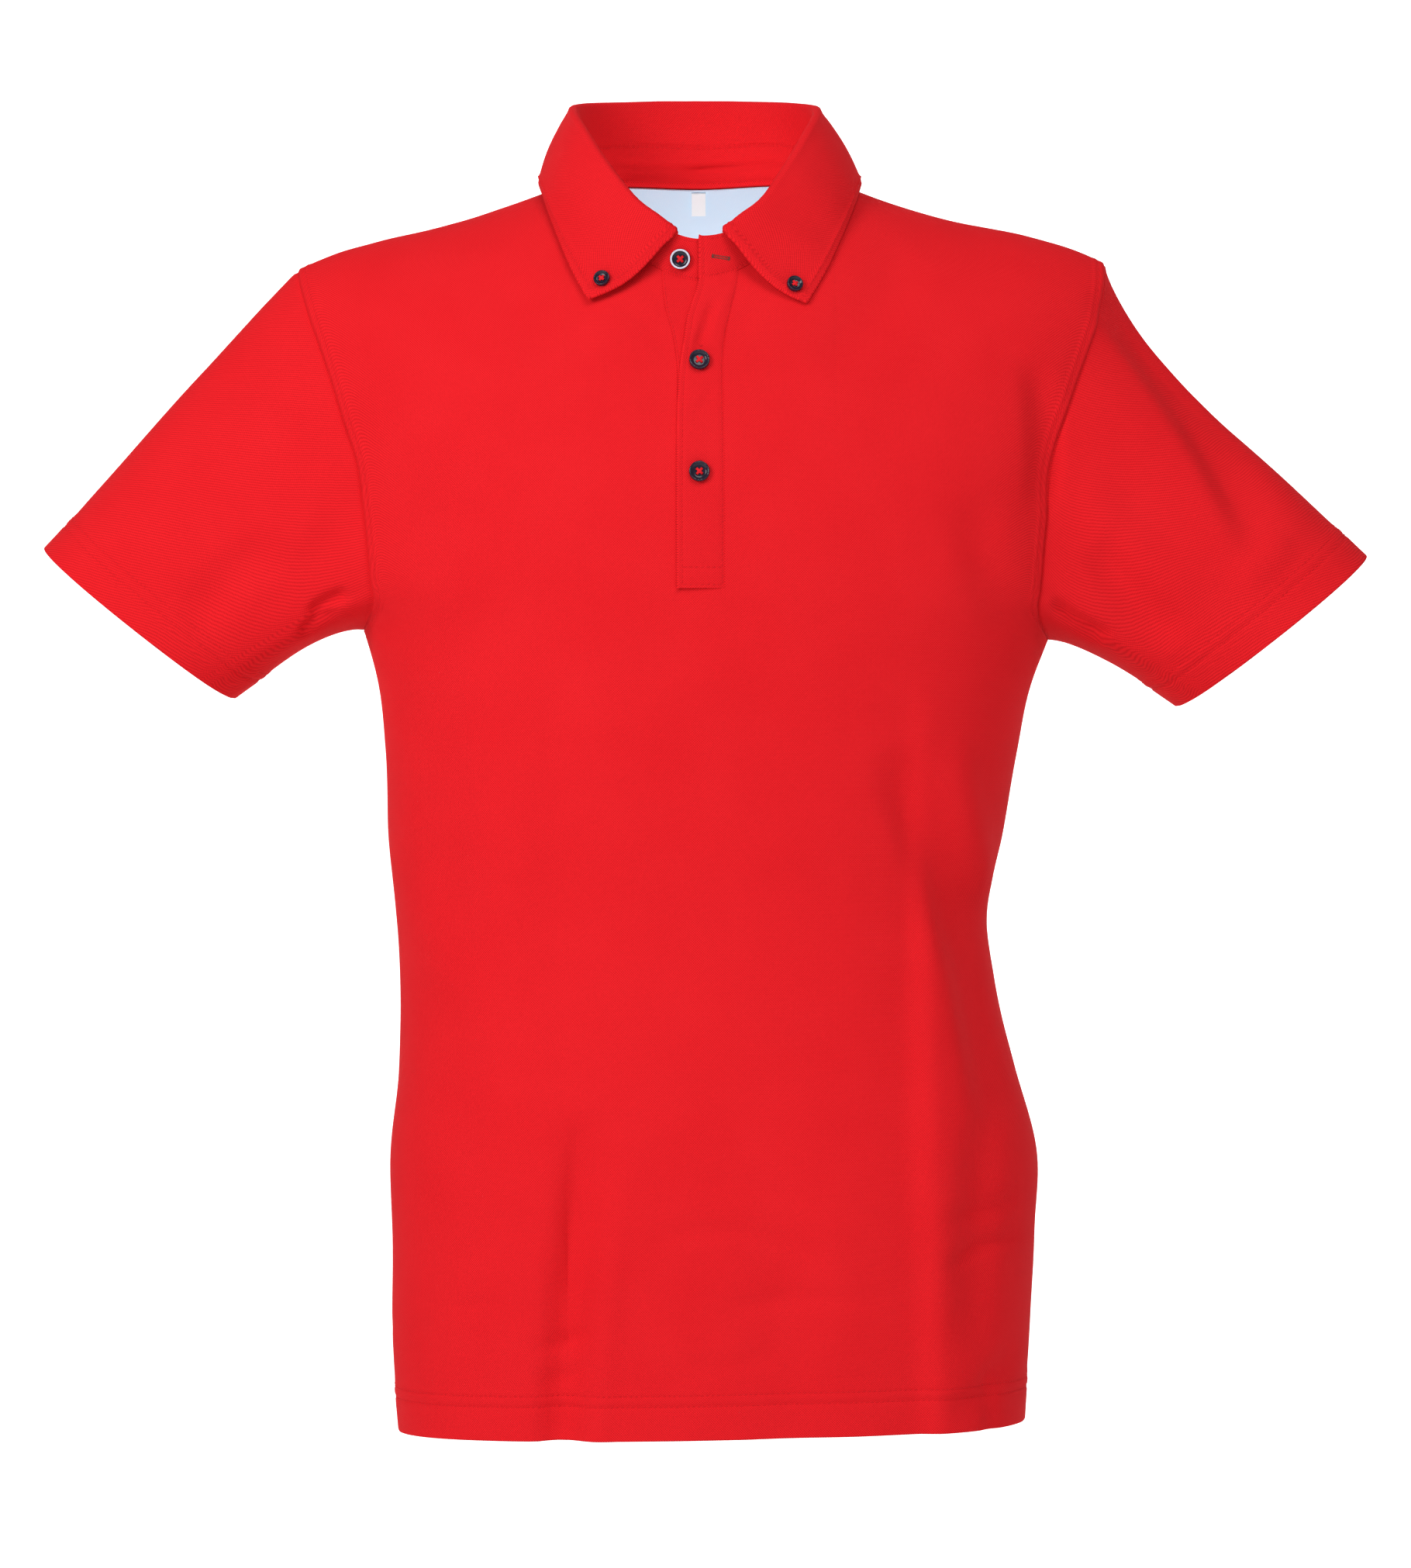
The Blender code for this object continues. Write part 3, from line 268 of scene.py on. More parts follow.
SLEEVE_CREASES = [
    Crease(-1, 0.222, -0.060, 0.316, -0.212, -0.010, 0.025, -0.0074, 0.28),
    Crease(-1, 0.222, -0.205, 0.270, -0.262, 0.004, 0.018, -0.0040),
    Crease(-1, 0.196, -0.237, 0.230, -0.258, 0.002, 0.0066, -0.0052),
    Crease(-1, 0.212, -0.170, 0.286, -0.236, 0.008, 0.020, 0.0024),
    Crease(-1, 0.300, -0.230, 0.330, -0.200, 0.002, 0.016, 0.0016),
    Crease(-1, -0.226, -0.205, -0.290, -0.250, 0.004, 0.020, -0.0036),
    Crease(-1, -0.196, -0.233, -0.220, -0.246, 0.002, 0.0062, -0.0042),
    Crease(-1, -0.202, -0.2435, -0.226, -0.2560, 0.002, 0.0046, -0.0034),
    Crease(-1, -0.210, -0.178, -0.268, -0.238, -0.006, 0.018, 0.0020),
    Crease(-1, -0.240, -0.100, -0.300, -0.170, 0.008, 0.026, -0.0016),
    Crease(1, -0.236, -0.120, -0.310, -0.215, 0.008, 0.024, -0.0046),
    Crease(1, 0.238, -0.130, 0.305, -0.240, -0.008, 0.024, -0.0046),
    Crease(1, -0.216, -0.205, -0.268, -0.262, 0.004, 0.016, -0.0034),
    Crease(1, 0.214, -0.200, 0.262, -0.262, 0.004, 0.016, -0.0034),
]
PLACKET_CREASES = [
    Crease(-1, -0.003, -0.108, 0.009, -0.072, -0.001, 0.0055, -0.0022),
    Crease(-1, -0.002, -0.090, 0.018, -0.064, 0.002, 0.0050, 0.0007),
    Crease(-1, -0.006, -0.140, 0.008, -0.120, 0.001, 0.0060, -0.0005),
]
COLLAR_CREASES = [
    Crease(-1, 0.040, -0.020, 0.076, -0.040, -0.004, 0.010, -0.0009),
    Crease(-1, 0.050, 0.004, 0.082, -0.016, 0.003, 0.012, 0.0008),
    Crease(-1, -0.046, -0.016, -0.078, -0.034, 0.003, 0.014, -0.0005),
]
STAND_CREASES = [
    Crease(1, -0.058, 0.0170, 0.030, 0.0150, 0.002, 0.0044, 0.0016),
    Crease(1, -0.010, 0.0125, 0.058, 0.0165, -0.002, 0.0036, 0.0014),
    Crease(1, -0.052, 0.0110, -0.008, 0.0100, 0.001, 0.0030, 0.0009),
]
# The collar's share of the cloth's unevenness, a crease's fading ends, and how far it reaches round a side
COLLAR_SHARE = 0.6
CREASE_TAPER = 0.30
FACING_WRAP = 0.25

# Sewing: distances of the stitch rows from their edges
HEM_ROWS = (0.0185, 0.0245)
CUFF_ROWS = (0.0170, 0.0230)
ARMHOLE_ROW = 0.0055
LEAF_ROW = 0.0033
PLACKET_ROW = 0.0020
PLACKET_SEAM_ROW = 0.0016
PLACKET_BOX = 0.0115
PLACKET_TRIM = 0.0005
ARMHOLE_TRIM = 0.0035
STAND_ROW = 0.0018
LINING_ROW = 0.0016

# Stitches, and buttonholes as close stitches round a slit with a bar across each end
STITCH_STEP = 0.0030
STITCH_LENGTH = 0.0024
THREAD_RADIUS = 0.00020
STRAND_STEP = 0.00044
ROLL_START = 9
HOLE_LIP = 0.0006
HOLE_STEP = 0.0006
HOLE_REACH = 0.0065
HOLE_POINTS = 9
HOLE_STITCH = 1.9
BAR_STEP = 0.0004
BAR_STITCH = 4.2
STAND_HOLE = ((0.0070, -0.0468), (0.0158, -0.0482))
LEAF_HOLE = (0.0030, 0.0038)

# The relief that the sewing gives each piece: a dip or ridge at a distance from one of its edges
Relief = namedtuple("Relief", "piece edge at height width")
RELIEF = [
    Relief("sleeve_left", "bottom", 0.0, -0.0007, 0.0012),
    Relief("sleeve_right", "bottom", 0.0, -0.0007, 0.0012),
    Relief("placket_over", "right", PLACKET_ROW, -0.0004, 0.0008),
    Relief("placket_over", "left", 0.0, -0.0005, 0.0008),
    Relief("placket_over", "left", PLACKET_SEAM_ROW, -0.0003, 0.0008),
    Relief("placket_over", "bottom", PLACKET_BOX, -0.0004, 0.0008),
    Relief("placket_over", "bottom", PLACKET_ROW, -0.0003, 0.0008),
    Relief("placket_under", "right", PLACKET_ROW, -0.0004, 0.0008),
    Relief("placket_under", "left", 0.0, -0.0005, 0.0008),
    Relief("collar_stand", "bottom", STAND_ROW, -0.0004, 0.0008),
    Relief("collar_stand", "ends", STAND_ROW, -0.0004, 0.0008),
]
HEM_PROUD = 0.0007
HEM_FADE = (0.0005, 0.0030)
HEM_DIP = 0.0006
HEM_DIP_WIDTH = 0.0011
LEAF_RIDGE = (0.0005, 0.0010)
LEAF_THINNING = 0.0003

# The relief beside a panel's seams, as rows of distance from the seam, height and width
ARMHOLE_DIPS = ((0.0, -0.0007, 0.0016), (ARMHOLE_ROW, -0.0004, 0.0014))
SIDE_DIPS = ((0.0, -0.0009, 0.0018), (0.0050, 0.0003, 0.0030))
SHOULDER_DIPS = {
    "front_panel": ((0.0, -0.0006, 0.0014),),
    "back_panel": ((0.0, -0.0006, 0.0014), (0.0040, 0.0004, 0.0024)),
}
ALLOWANCE = ((0.0002, 0.0024), (0.0062, 0.0100))
ALLOWANCE_PROUD = 0.0006
# Rows from the underarm between which the side seam's relief gives way to the armhole's
UNDERARM_BLEND = (-1, 3)

# The folded edges, which are rounded, and where an edge's points are in a grid
FREE_EDGES = {
    "front_panel": ("bottom",), "back_panel": ("bottom",), "sleeve_left": ("top",), "sleeve_right": ("top",),
    "placket_over": ("right",), "placket_under": ("right",), "collar_stand": ("left", "right"),
    "collar_leaf": ("left", "right", "top"),
}
EDGE_POINTS = {
    "left": (slice(None), 0),
    "right": (slice(None), -1),
    "bottom": (0, slice(None)),
    "top": (-1, slice(None)),
}

# Between which distances from a button, or shares of the neck, the cloth's own movement comes in
BUTTON_CLEARANCE = (0.006, 0.013)
NECK_FADE = (1.0, 1.35)
NECK_FADE_HEIGHT = -0.12

# The unevenness of hung cloth: a slow and a quick noise, by their scales along x, y and z
SLOW_WAVES = (13.0, 13.0, 8.0)
QUICK_WAVES = (42.0, 42.0, 30.0)
QUICK_SHIFT = 7.0
QUICK_SHARE = 0.30

# The buttons as shares of their radius or thickness: steps of the dished face, holes, rim and thread
DISH_STEPS = ((0.10, 0.0), (0.10, -0.10), (0.10, -0.26), (0.12, -0.10), (0.12, -0.02), (0.20, 0.0))
BACK_STEP = (0.16, -0.10)
HOLE_SPACING = 0.25
HOLE_RADIUS = 0.115
RIM_ROUNDING = 0.22
THREAD_HEIGHT = 0.66
THREAD_OVERLAP = 0.03
SHANK_RADIUS = 0.26
# The band of the neckband button's face that is painted pale as a highlight ring
PAINTED_HIGHLIGHT_BAND = (0.84, 0.97)
BUTTON_SHARP_ANGLE = 38.0
BUTTON_TURN = 0.12

# From one dimple of the knit to the next
KNIT_PITCH = 0.00140

# The studio: what the picture shows in height, the floor with its glow behind the shirt, and the lights
FRAME_HEIGHT = 0.8896
FLOOR_DROP = 0.22
FLOOR_SIZE = 18.0
GLOW_REACH = (2.6, 3.6)
GLOW = (0.10, 0.78)
LIGHTS = (
    ("key_light", (-2.4, -2.9, 1.3), 1.22, 1.7),
    ("top_light", (0.9, -2.7, 2.9), 1.08, 2.2),
)
NECK_LIGHT = (0.0, 0.010, -0.135)
NECK_AIM = (0.0, 0.068, -0.015)
NECK_LIGHT_SIZE = 0.06
LIGHT_AIM = (0.0, 0.0, -0.35)
FLOOR_MIDDLE_Y = -2.0
BACKDROP_HEIGHT = 6.0
SWEEP_RADIUS = 1.6
SWEEP_CUTS = 24
CAMERA_X = 0.003
SENSOR_WIDTH = 36.0

# How finely the cloth is cut: cuts or points in a gap, or distances from the hem
CELL = 0.0026
LEAST_ROUND = 0.2
EASE_ROWS = 14
EASE_STEPS = 24
HEM_CUTS = (0.0, 0.0008, 0.0025, 0.0070, 0.0130, 0.0168, 0.0177, 0.0185, 0.0193, 0.0202, 0.0218, 0.0228,
            0.0237, 0.0245, 0.0253)
OUTER_CUTS = 26
OUTER_GRADING = 1.5
SIDE_CUTS = 5
NECK_CUTS = 4
NECK_EDGE = OUTER_CUTS + SIDE_CUTS * (SIDE_COLUMNS - 1)
RISE_CUTS = {-1: 5, 1: 6}
PLACKET_CUTS = (6, 5, 8)
SLEEVE_CUTS = ((0.0, 0.06, 8), (0.06, 0.80, 38), (0.80, 1.0, 26))
STAND_POINTS = 15
LEAF_CUTS = [4, 3, 2, 2, 2, 2] + [4] * (FALL_STEPS - 1) + [8]
BODY_CUTS = 7
LINING_POINTS = (41, 65)
LABEL_POINTS = (23, 9)
RIM_ANGLE = 50.0

BUTTONS = {
    "button_stand": 0.0114, "button_placket_1": 0.0114, "button_placket_2": 0.0114,
    "button_collar_left": 0.0090, "button_collar_right": 0.0090,
}


# Reading the tables

CURVES = {}


def hermite(t, step, start, end, start_slope, end_slope):
    """The value at a share t of a gap between two values with their slopes."""
    return (
        (2 * t**3 - 3 * t**2 + 1) * start + (t**3 - 2 * t**2 + t) * step * start_slope
        + (3 * t**2 - 2 * t**3) * end + (t**3 - t**2) * step * end_slope
    )


def read(rows, key, name, at):
    """The value of a named column where the key column is at, on a smooth curve through the rows."""
    curve = (id(rows), key, name)
    if curve not in CURVES:
        keys = np.array([getattr(row, key) for row in rows])
        values = np.array([getattr(row, name) for row in rows])
        CURVES[curve] = [a.tolist() for a in (keys, values, np.gradient(values, keys))]
    keys, values, slopes = CURVES[curve]
    at = min(max(at, keys[0]), keys[-1])
    i = min(max(bisect_left(keys, at) - 1, 0), len(keys) - 2)
    step = keys[i + 1] - keys[i]
    return hermite((at - keys[i]) / step, step, *values[i:i + 2], *slopes[i:i + 2])


def unit(vectors):
    """The vectors at length one."""
    vectors = np.asarray(vectors, dtype=float)
    return vectors / np.maximum(np.linalg.norm(vectors, axis=-1, keepdims=True), 1e-12)


def travelled(line):
    """How far along a line of points each of them lies, from the first."""
    return np.concatenate([[0.0], np.cumsum(np.linalg.norm(np.diff(line, axis=0), axis=1))])


def between(at, keys, rows):
    """The rows' values at the given keys, on straight lines from row to row."""
    return np.stack([np.interp(at, keys, rows[:, axis]) for axis in range(3)], axis=-1)


def half_width(x, height):
    """Half the width of the body's level section, on the side where x lies."""
    return read(SECTIONS, "height", "left" if x < 0 else "right", height)


def panel_depth(face, height):
    """How far the middle of the front or back stands out at a height."""
    return read(SECTIONS, "height", "front" if face < 0 else "back", min(height, TURN[face].start))


def across(x, height):
    """The share of the middle's depth that the section keeps at x."""
    return max(0.0, 1.0 - (abs(x) / half_width(x, height)) ** SQUARENESS) ** (1.0 / SQUARENESS)


def shoulder_height(x):
    """The height of the shoulder line above x."""
    return read(SHOULDER, "reach", "height", abs(x)) + SHOULDER_TILT * x


def risen_height(face, x, rise):
    """The height reached at x when the panel has turned by an angle towards the shoulder seam."""
    turn = TURN[face]
    return turn.start + (shoulder_height(x) - turn.start) * math.sin(rise) ** (2.0 / turn.power)


def panel_point(face, x, height, rise=0.0):
    """A point of the front or back at x and height."""
    drawn_in = max(0.0, math.cos(rise)) ** (2.0 / TURN[face].power)
    return (x, face * panel_depth(face, height) * across(x, height) * drawn_in, height)


def neck_rise(face, x):
    """The turn at which the panel meets the neck opening at x, a right angle outside the neck."""
    share = abs(x) / NECK_HALF_WIDTH
    if share >= 1.0:
        return math.pi / 2
    wanted = NECK_DEPTH[face] * math.sqrt(1.0 - share**2)
    rise = math.pi / 4
    for _ in range(SEAM_TRIES):
        depth = panel_depth(face, TURN[face].start) * across(x, risen_height(face, x, rise))
        rise = math.acos(min(1.0, (wanted / depth) ** (TURN[face].power / 2.0)))
    return rise


def armhole_x(side, height):
    """How far out the armhole seam lies at a height: measured above the underarm, a round turn below."""
    name = "left" if side < 0 else "right"
    if height >= UNDERARM_TURN:
        return side * read(ARMHOLE, "height", name, height)
    top_x = side * read(ARMHOLE, "height", name, UNDERARM_TURN)
    drop = (UNDERARM_TURN - height) / (UNDERARM_TURN - UNDERARM_HEIGHT)
    share = across(top_x, UNDERARM_TURN) * math.sqrt(max(0.0, 1.0 - drop**2))
    return side * half_width(side, height) * (1.0 - share**SQUARENESS) ** (1.0 / SQUARENESS)


def risen_armhole_x(face, side, rise):
    """The armhole seam's x where the panel has turned by rise."""
    x = armhole_x(side, ARMHOLE[0].height)
    for _ in range(SEAM_TRIES):
        x = armhole_x(side, risen_height(face, x, rise))
    return x


def even(count):
    """Even steps through a gap, as shares of it."""
    return np.arange(count) / count


def refined(values, cuts):
    """The values with each gap between them cut at the given shares."""
    out = []
    for start, end, shares in zip(values[:-1], values[1:], cuts):
        out += [start + (end - start) * t for t in shares]
    return out + [values[-1]]


def side_columns(side, edge_x, height):
    """The x of each column from beside the neck to the edge, spaced by the angle round the section."""
    reach = half_width(side, height)
    power = SQUARENESS / 2.0
    inner = math.asin((NECK_HALF_WIDTH / reach) ** power)
    outer = math.asin(min(1.0, abs(edge_x) / reach) ** power)
    cuts = [even(SIDE_CUTS)] * (SIDE_COLUMNS - 1) + [[1 - (1 - t) ** OUTER_GRADING for t in even(OUTER_CUTS)]]
    shares = refined(np.linspace(0, 1, SIDE_COLUMNS + 1), cuts)[1:]
    xs = [side * reach * math.sin(inner + (outer - inner) * share) ** (1.0 / power) for share in shares]
    xs[-1] = edge_x
    return xs


def neck_columns_front(height):
    """The x of the front's columns from neck side to neck side, the slot's seams among them."""
    left = read(SLOT, "height", "under_seam", height)
    right = read(SLOT, "height", "over_seam", height)
    seam = read(SLOT, "height", "over_seam", NECK_SEAM_FRONT)
    angles = np.linspace(math.asin(seam / NECK_HALF_WIDTH), math.pi / 2, NECK_COLUMNS * NECK_CUTS + 1)
    shares = (NECK_HALF_WIDTH * np.sin(angles) - seam) / (NECK_HALF_WIDTH - seam)
    left_xs = [left - share * (NECK_HALF_WIDTH + left) for share in shares[::-1]]
    right_xs = [right + share * (NECK_HALF_WIDTH - right) for share in shares]
    return left_xs + list(np.linspace(left, right, 2 * NECK_CUTS + 1)[1:-1]) + right_xs


def neck_columns_back(_height):
    """The x of the back's columns from neck side to neck side, evenly spaced round the neck."""
    angles = np.linspace(-math.pi / 2, math.pi / 2, BACK_NECK_COLUMNS * NECK_CUTS + 1)
    return [NECK_HALF_WIDTH * math.sin(angle) for angle in angles]


def level_cuts(face):
    """Where each gap between a panel's level rows is cut: finely at the hem's stitching."""
    levels = TURN[face].levels
    cuts = [np.array(HEM_CUTS) * BODY_LEVELS / (UNDERARM_HEIGHT - HEM_HEIGHT)]
    cuts += [even(BODY_CUTS)] * (BODY_LEVELS - 1)
    return cuts + [even(max(2, math.ceil(step / CELL))) for step in np.diff([UNDERARM_HEIGHT, *levels])]


def panel_rows(face):
    """The heights of the level rows from hem to turn, and the shares of the turn above them."""
    body = np.linspace(HEM_HEIGHT, UNDERARM_HEIGHT, BODY_LEVELS + 1)
    rises = TURN[face].rows * RISE_CUTS[face]
    return refined([*body, *TURN[face].levels], level_cuts(face)), [(i + 1) / rises for i in range(rises)]


def panel_grid(face):
    """The middle of the front's or back's cloth: rows from the hem up, columns from left to right."""
    neck_columns = neck_columns_front if face < 0 else neck_columns_back
    levels, shares = panel_rows(face)
    neck_rises = [neck_rise(face, x) for x in neck_columns(NECK_SEAM_FRONT)]
    guide_rise = neck_rise(face, SLOT_GUIDE_X)
    grid = []
    for height in levels:
        below = height <= UNDERARM_HEIGHT
        edges = [side * half_width(side, height) if below else armhole_x(side, height) for side in (-1, 1)]
        left = side_columns(-1, edges[0], height)[::-1]
        right = side_columns(1, edges[1], height)
        share = max(0.0, (UNDERARM_HEIGHT - height) / (UNDERARM_HEIGHT - HEM_HEIGHT))
        row = [panel_point(face, x, height) for x in [*left, *neck_columns(height), *right]]
        near = math.exp(-(((height - UNDERARM_HEIGHT) / UNDERARM_REACH) ** 2))
        grid.append([(x, y, z + (HEM_TILT * share**2 - UNDERARM_TILT * near) * x) for x, y, z in row])
    for share in shares:
        quarter = share * math.pi / 2
        sides = []
        for side in (-1, 1):
            edge = risen_armhole_x(face, side, quarter)
            xs = side_columns(side, edge, risen_height(face, edge, quarter))
            sides.append([panel_point(face, x, risen_height(face, x, quarter), quarter) for x in xs])
        middle = risen_height(face, SLOT_GUIDE_X, share * guide_rise)
        neck = [
            panel_point(face, x, risen_height(face, x, share * rise), share * rise)
            for x, rise in zip(neck_columns(middle), neck_rises)
        ]
        grid.append(sides[0][::-1] + neck + sides[1])
    return np.array(grid)


# Dense cloth

def spline_rows(grid, cuts):
    """The grid with each gap between rows cut at the given shares, on a smooth curve down every column."""
    steps = np.linalg.norm(np.diff(grid, axis=0), axis=2).mean(axis=1)
    slopes = np.diff(grid, axis=0) / steps[:, None, None]
    tangents = np.empty_like(grid)
    tangents[0], tangents[-1] = slopes[0], slopes[-1]
    weight = (steps[:-1] / (steps[:-1] + steps[1:]))[:, None, None]
    tangents[1:-1] = slopes[:-1] * (1 - weight) + slopes[1:] * weight
    out = []
    for i, shares in enumerate(cuts):
        out += [hermite(t, steps[i], *grid[i:i + 2], *tangents[i:i + 2]) for t in shares]
    return np.array(out + [grid[-1]])


def smooth_step(low, high, value):
    """From 0 below low to 1 above high."""
    t = np.clip((value - low) / (high - low), 0.0, 1.0)
    return t * t * (3 - 2 * t)


def groove(distance, at, width):
    """A narrow dip round a distance."""
    return np.exp(-(((distance - at) / width) ** 2))


class Cloth:
    """A dense sheet through the middle of the cloth, with the distances from its edges."""

    def __init__(self, name, grid, closed=False, flip=False, skip=None, shown=1.0):
        self.name, self.grid, self.closed, self.flip, self.skip = name, grid, closed, flip, skip
        self.shown = shown
        self.relief = np.zeros(grid.shape[:2])
        self.free = np.zeros(grid.shape[:2])
        self.normals = self.own_normals()
        around = np.linalg.norm(np.diff(grid, axis=1), axis=2)
        along = np.linalg.norm(np.diff(grid, axis=0), axis=2)
        self.from_left = np.concatenate([np.zeros((grid.shape[0], 1)), np.cumsum(around, axis=1)], axis=1)
        self.from_bottom = np.concatenate([np.zeros((1, grid.shape[1])), np.cumsum(along, axis=0)], axis=0)
        self.from_right = self.from_left[:, -1:] - self.from_left
        self.from_top = self.from_bottom[-1:] - self.from_bottom
        self.from_ends = np.minimum(self.from_left, self.from_right)

    def own_normals(self):
        """The normal at each point."""
        g = self.grid
        if self.closed:
            across_way = np.roll(g, -1, axis=1) - np.roll(g, 1, axis=1)
        else:
            across_way = np.gradient(g, axis=1)
        normals = unit(np.cross(across_way, np.gradient(g, axis=0)))
        return -normals if self.flip else normals

    def edge_mask(self):
        """True at the points on the outer edges."""
        mask = np.zeros(self.grid.shape[:2], dtype=bool)
        mask[0], mask[-1] = True, True
        if not self.closed:
            mask[:, 0], mask[:, -1] = True, True
        if self.skip is not None:
            rows, columns = np.nonzero(self.skip)
            for i, j in zip(rows, columns):
                mask[i:i + 2, j:j + 2] = True
        return mask


def share_seams(cloths):
    """Gives the points where sheets meet one place and one normal."""
    meeting = {}
    for cloth in cloths:
        for i, j in zip(*np.nonzero(cloth.edge_mask())):
            meeting.setdefault(tuple(np.round(cloth.grid[i, j], 4)), []).append((cloth, i, j))
    for members in meeting.values():
        if len({cloth.name for cloth, _, _ in members}) > 1:
            total = unit(sum(cloth.normals[i, j] for cloth, i, j in members))
            place = sum(cloth.grid[i, j] for cloth, i, j in members) / len(members)
            for cloth, i, j in members:
                cloth.normals[i, j], cloth.grid[i, j] = total, place


def crease_move(points, normals, creases):
    """How far the cloth moves out along its creases, on the side that each faces."""
    move = np.zeros(points.shape[:-1])
    for c in creases:
        start, line = np.array([c.x0, c.z0]), np.array([c.x1 - c.x0, c.z1 - c.z0])
        length = math.hypot(*line)
        away = points[..., [0, 2]] - start
        along = (away @ line) / length**2
        side = (away @ np.array([line[1], -line[0]])) / length - c.bow * 4 * along * (1 - along)
        width = np.where(side > 0, c.width * (1 - c.lean), c.width * (1 + c.lean))
        slope = np.cos(np.clip(np.abs(side) / width, 0, 1) * math.pi / 2) ** 2
        end = np.clip(np.minimum(along, 1.0 - along) / CREASE_TAPER, 0.0, 1.0)
        facing = np.clip(c.face * normals[..., 1] * 1.6 + FACING_WRAP, 0.0, 1.0)
        move += c.depth * slope * np.sin(end * math.pi / 2) * facing
    return move


def unevenness(points, amount):
    """A slow unevenness of hung cloth, the same at the same place."""
    flat = points.reshape(-1, 3)
    out = np.empty(len(flat))
    for k, point in enumerate(flat):
        slow = noise.noise(Vector(point * SLOW_WAVES))
        quick = noise.noise(Vector(point * QUICK_WAVES) + Vector((QUICK_SHIFT, 0.0, 0.0)))
        out[k] = slow + QUICK_SHARE * quick
    return amount * out.reshape(points.shape[:-1])


def clear_of_neck(points):
    """From 0 on the neck seam to 1 away from it."""
    depth = np.where(points[..., 1] < 0, NECK_DEPTH[-1], NECK_DEPTH[1])
    reach = np.hypot(points[..., 0] / NECK_HALF_WIDTH, points[..., 1] / depth)
    return np.where(points[..., 2] > NECK_FADE_HEIGHT, smooth_step(*NECK_FADE, reach), 1.0)


def clear_of_buttons(points):
    """From 0 under a button to 1 away from it, so that each button stays seated."""
    share = np.ones(points.shape[:-1])
    for node in BUTTONS:
        centre = np.array(button_place(node)[0])
        share *= smooth_step(*BUTTON_CLEARANCE, np.linalg.norm(points - centre, axis=-1))
    return share


def settle(cloth, creases, amount):
    """Moves the cloth by its creases, its slow unevenness and the relief of its sewing."""
    out = cloth.normals * cloth.shown
    move = crease_move(cloth.grid, out, creases) + unevenness(cloth.grid, amount)
    move *= clear_of_buttons(cloth.grid)
    if cloth.name.endswith(("panel", "lining", "label")):
        move *= clear_of_neck(cloth.grid)
    cloth.grid = cloth.grid + out * (move + cloth.relief)[..., None]


# The pieces of the shirt as dense cloth

def panels():
    """The front, open at the slot, and the back."""
    front_grid = eased(panel_grid(-1))
    slot_row = int(np.argmin(np.abs(np.array(panel_rows(-1)[0]) - SLOT_BOTTOM)))
    slot_column = NECK_EDGE + NECK_CUTS * NECK_COLUMNS
    skip = np.zeros((front_grid.shape[0] - 1, front_grid.shape[1] - 1), dtype=bool)
    skip[slot_row:, slot_column:slot_column + 2 * NECK_CUTS] = True
    return Cloth("front_panel", front_grid, skip=skip), Cloth("back_panel", eased(panel_grid(1)), flip=True)


def eased(grid):
    """The panel with the change of form at the underarm level drawn out softly, its edges as they are."""
    rows, columns = grid.shape[:2]
    window = smooth_step(0, 1, 1.4 - np.abs(np.arange(rows) - underarm_row()) / EASE_ROWS)
    edge = np.minimum(np.arange(columns), np.arange(columns)[::-1])
    share = 0.5 * window[1:-1, None] * smooth_step(0, OUTER_CUTS, edge)[None, :]
    for _ in range(EASE_STEPS):
        grid[1:-1] += ((grid[:-2] + grid[2:]) / 2 - grid[1:-1]) * share[..., None]
    return grid


def underarm_row():
    """The dense row where the side seam ends and the armhole begins."""
    return sum(map(len, level_cuts(-1)[:BODY_LEVELS]))


def join_sides(front, back):
    """Brings the side and shoulder seams of front and back to the same points."""
    under = underarm_row() + 1
    for column in (0, -1):
        middle = (front.grid[:under, column] + back.grid[:under, column]) / 2
        front.grid[:under, column] = back.grid[:under, column] = middle
    for part in (slice(0, NECK_EDGE + 1), slice(-NECK_EDGE - 1, None)):
        middle = (front.grid[-1, part] + back.grid[-1, part]) / 2
        front.grid[-1, part] = back.grid[-1, part] = middle


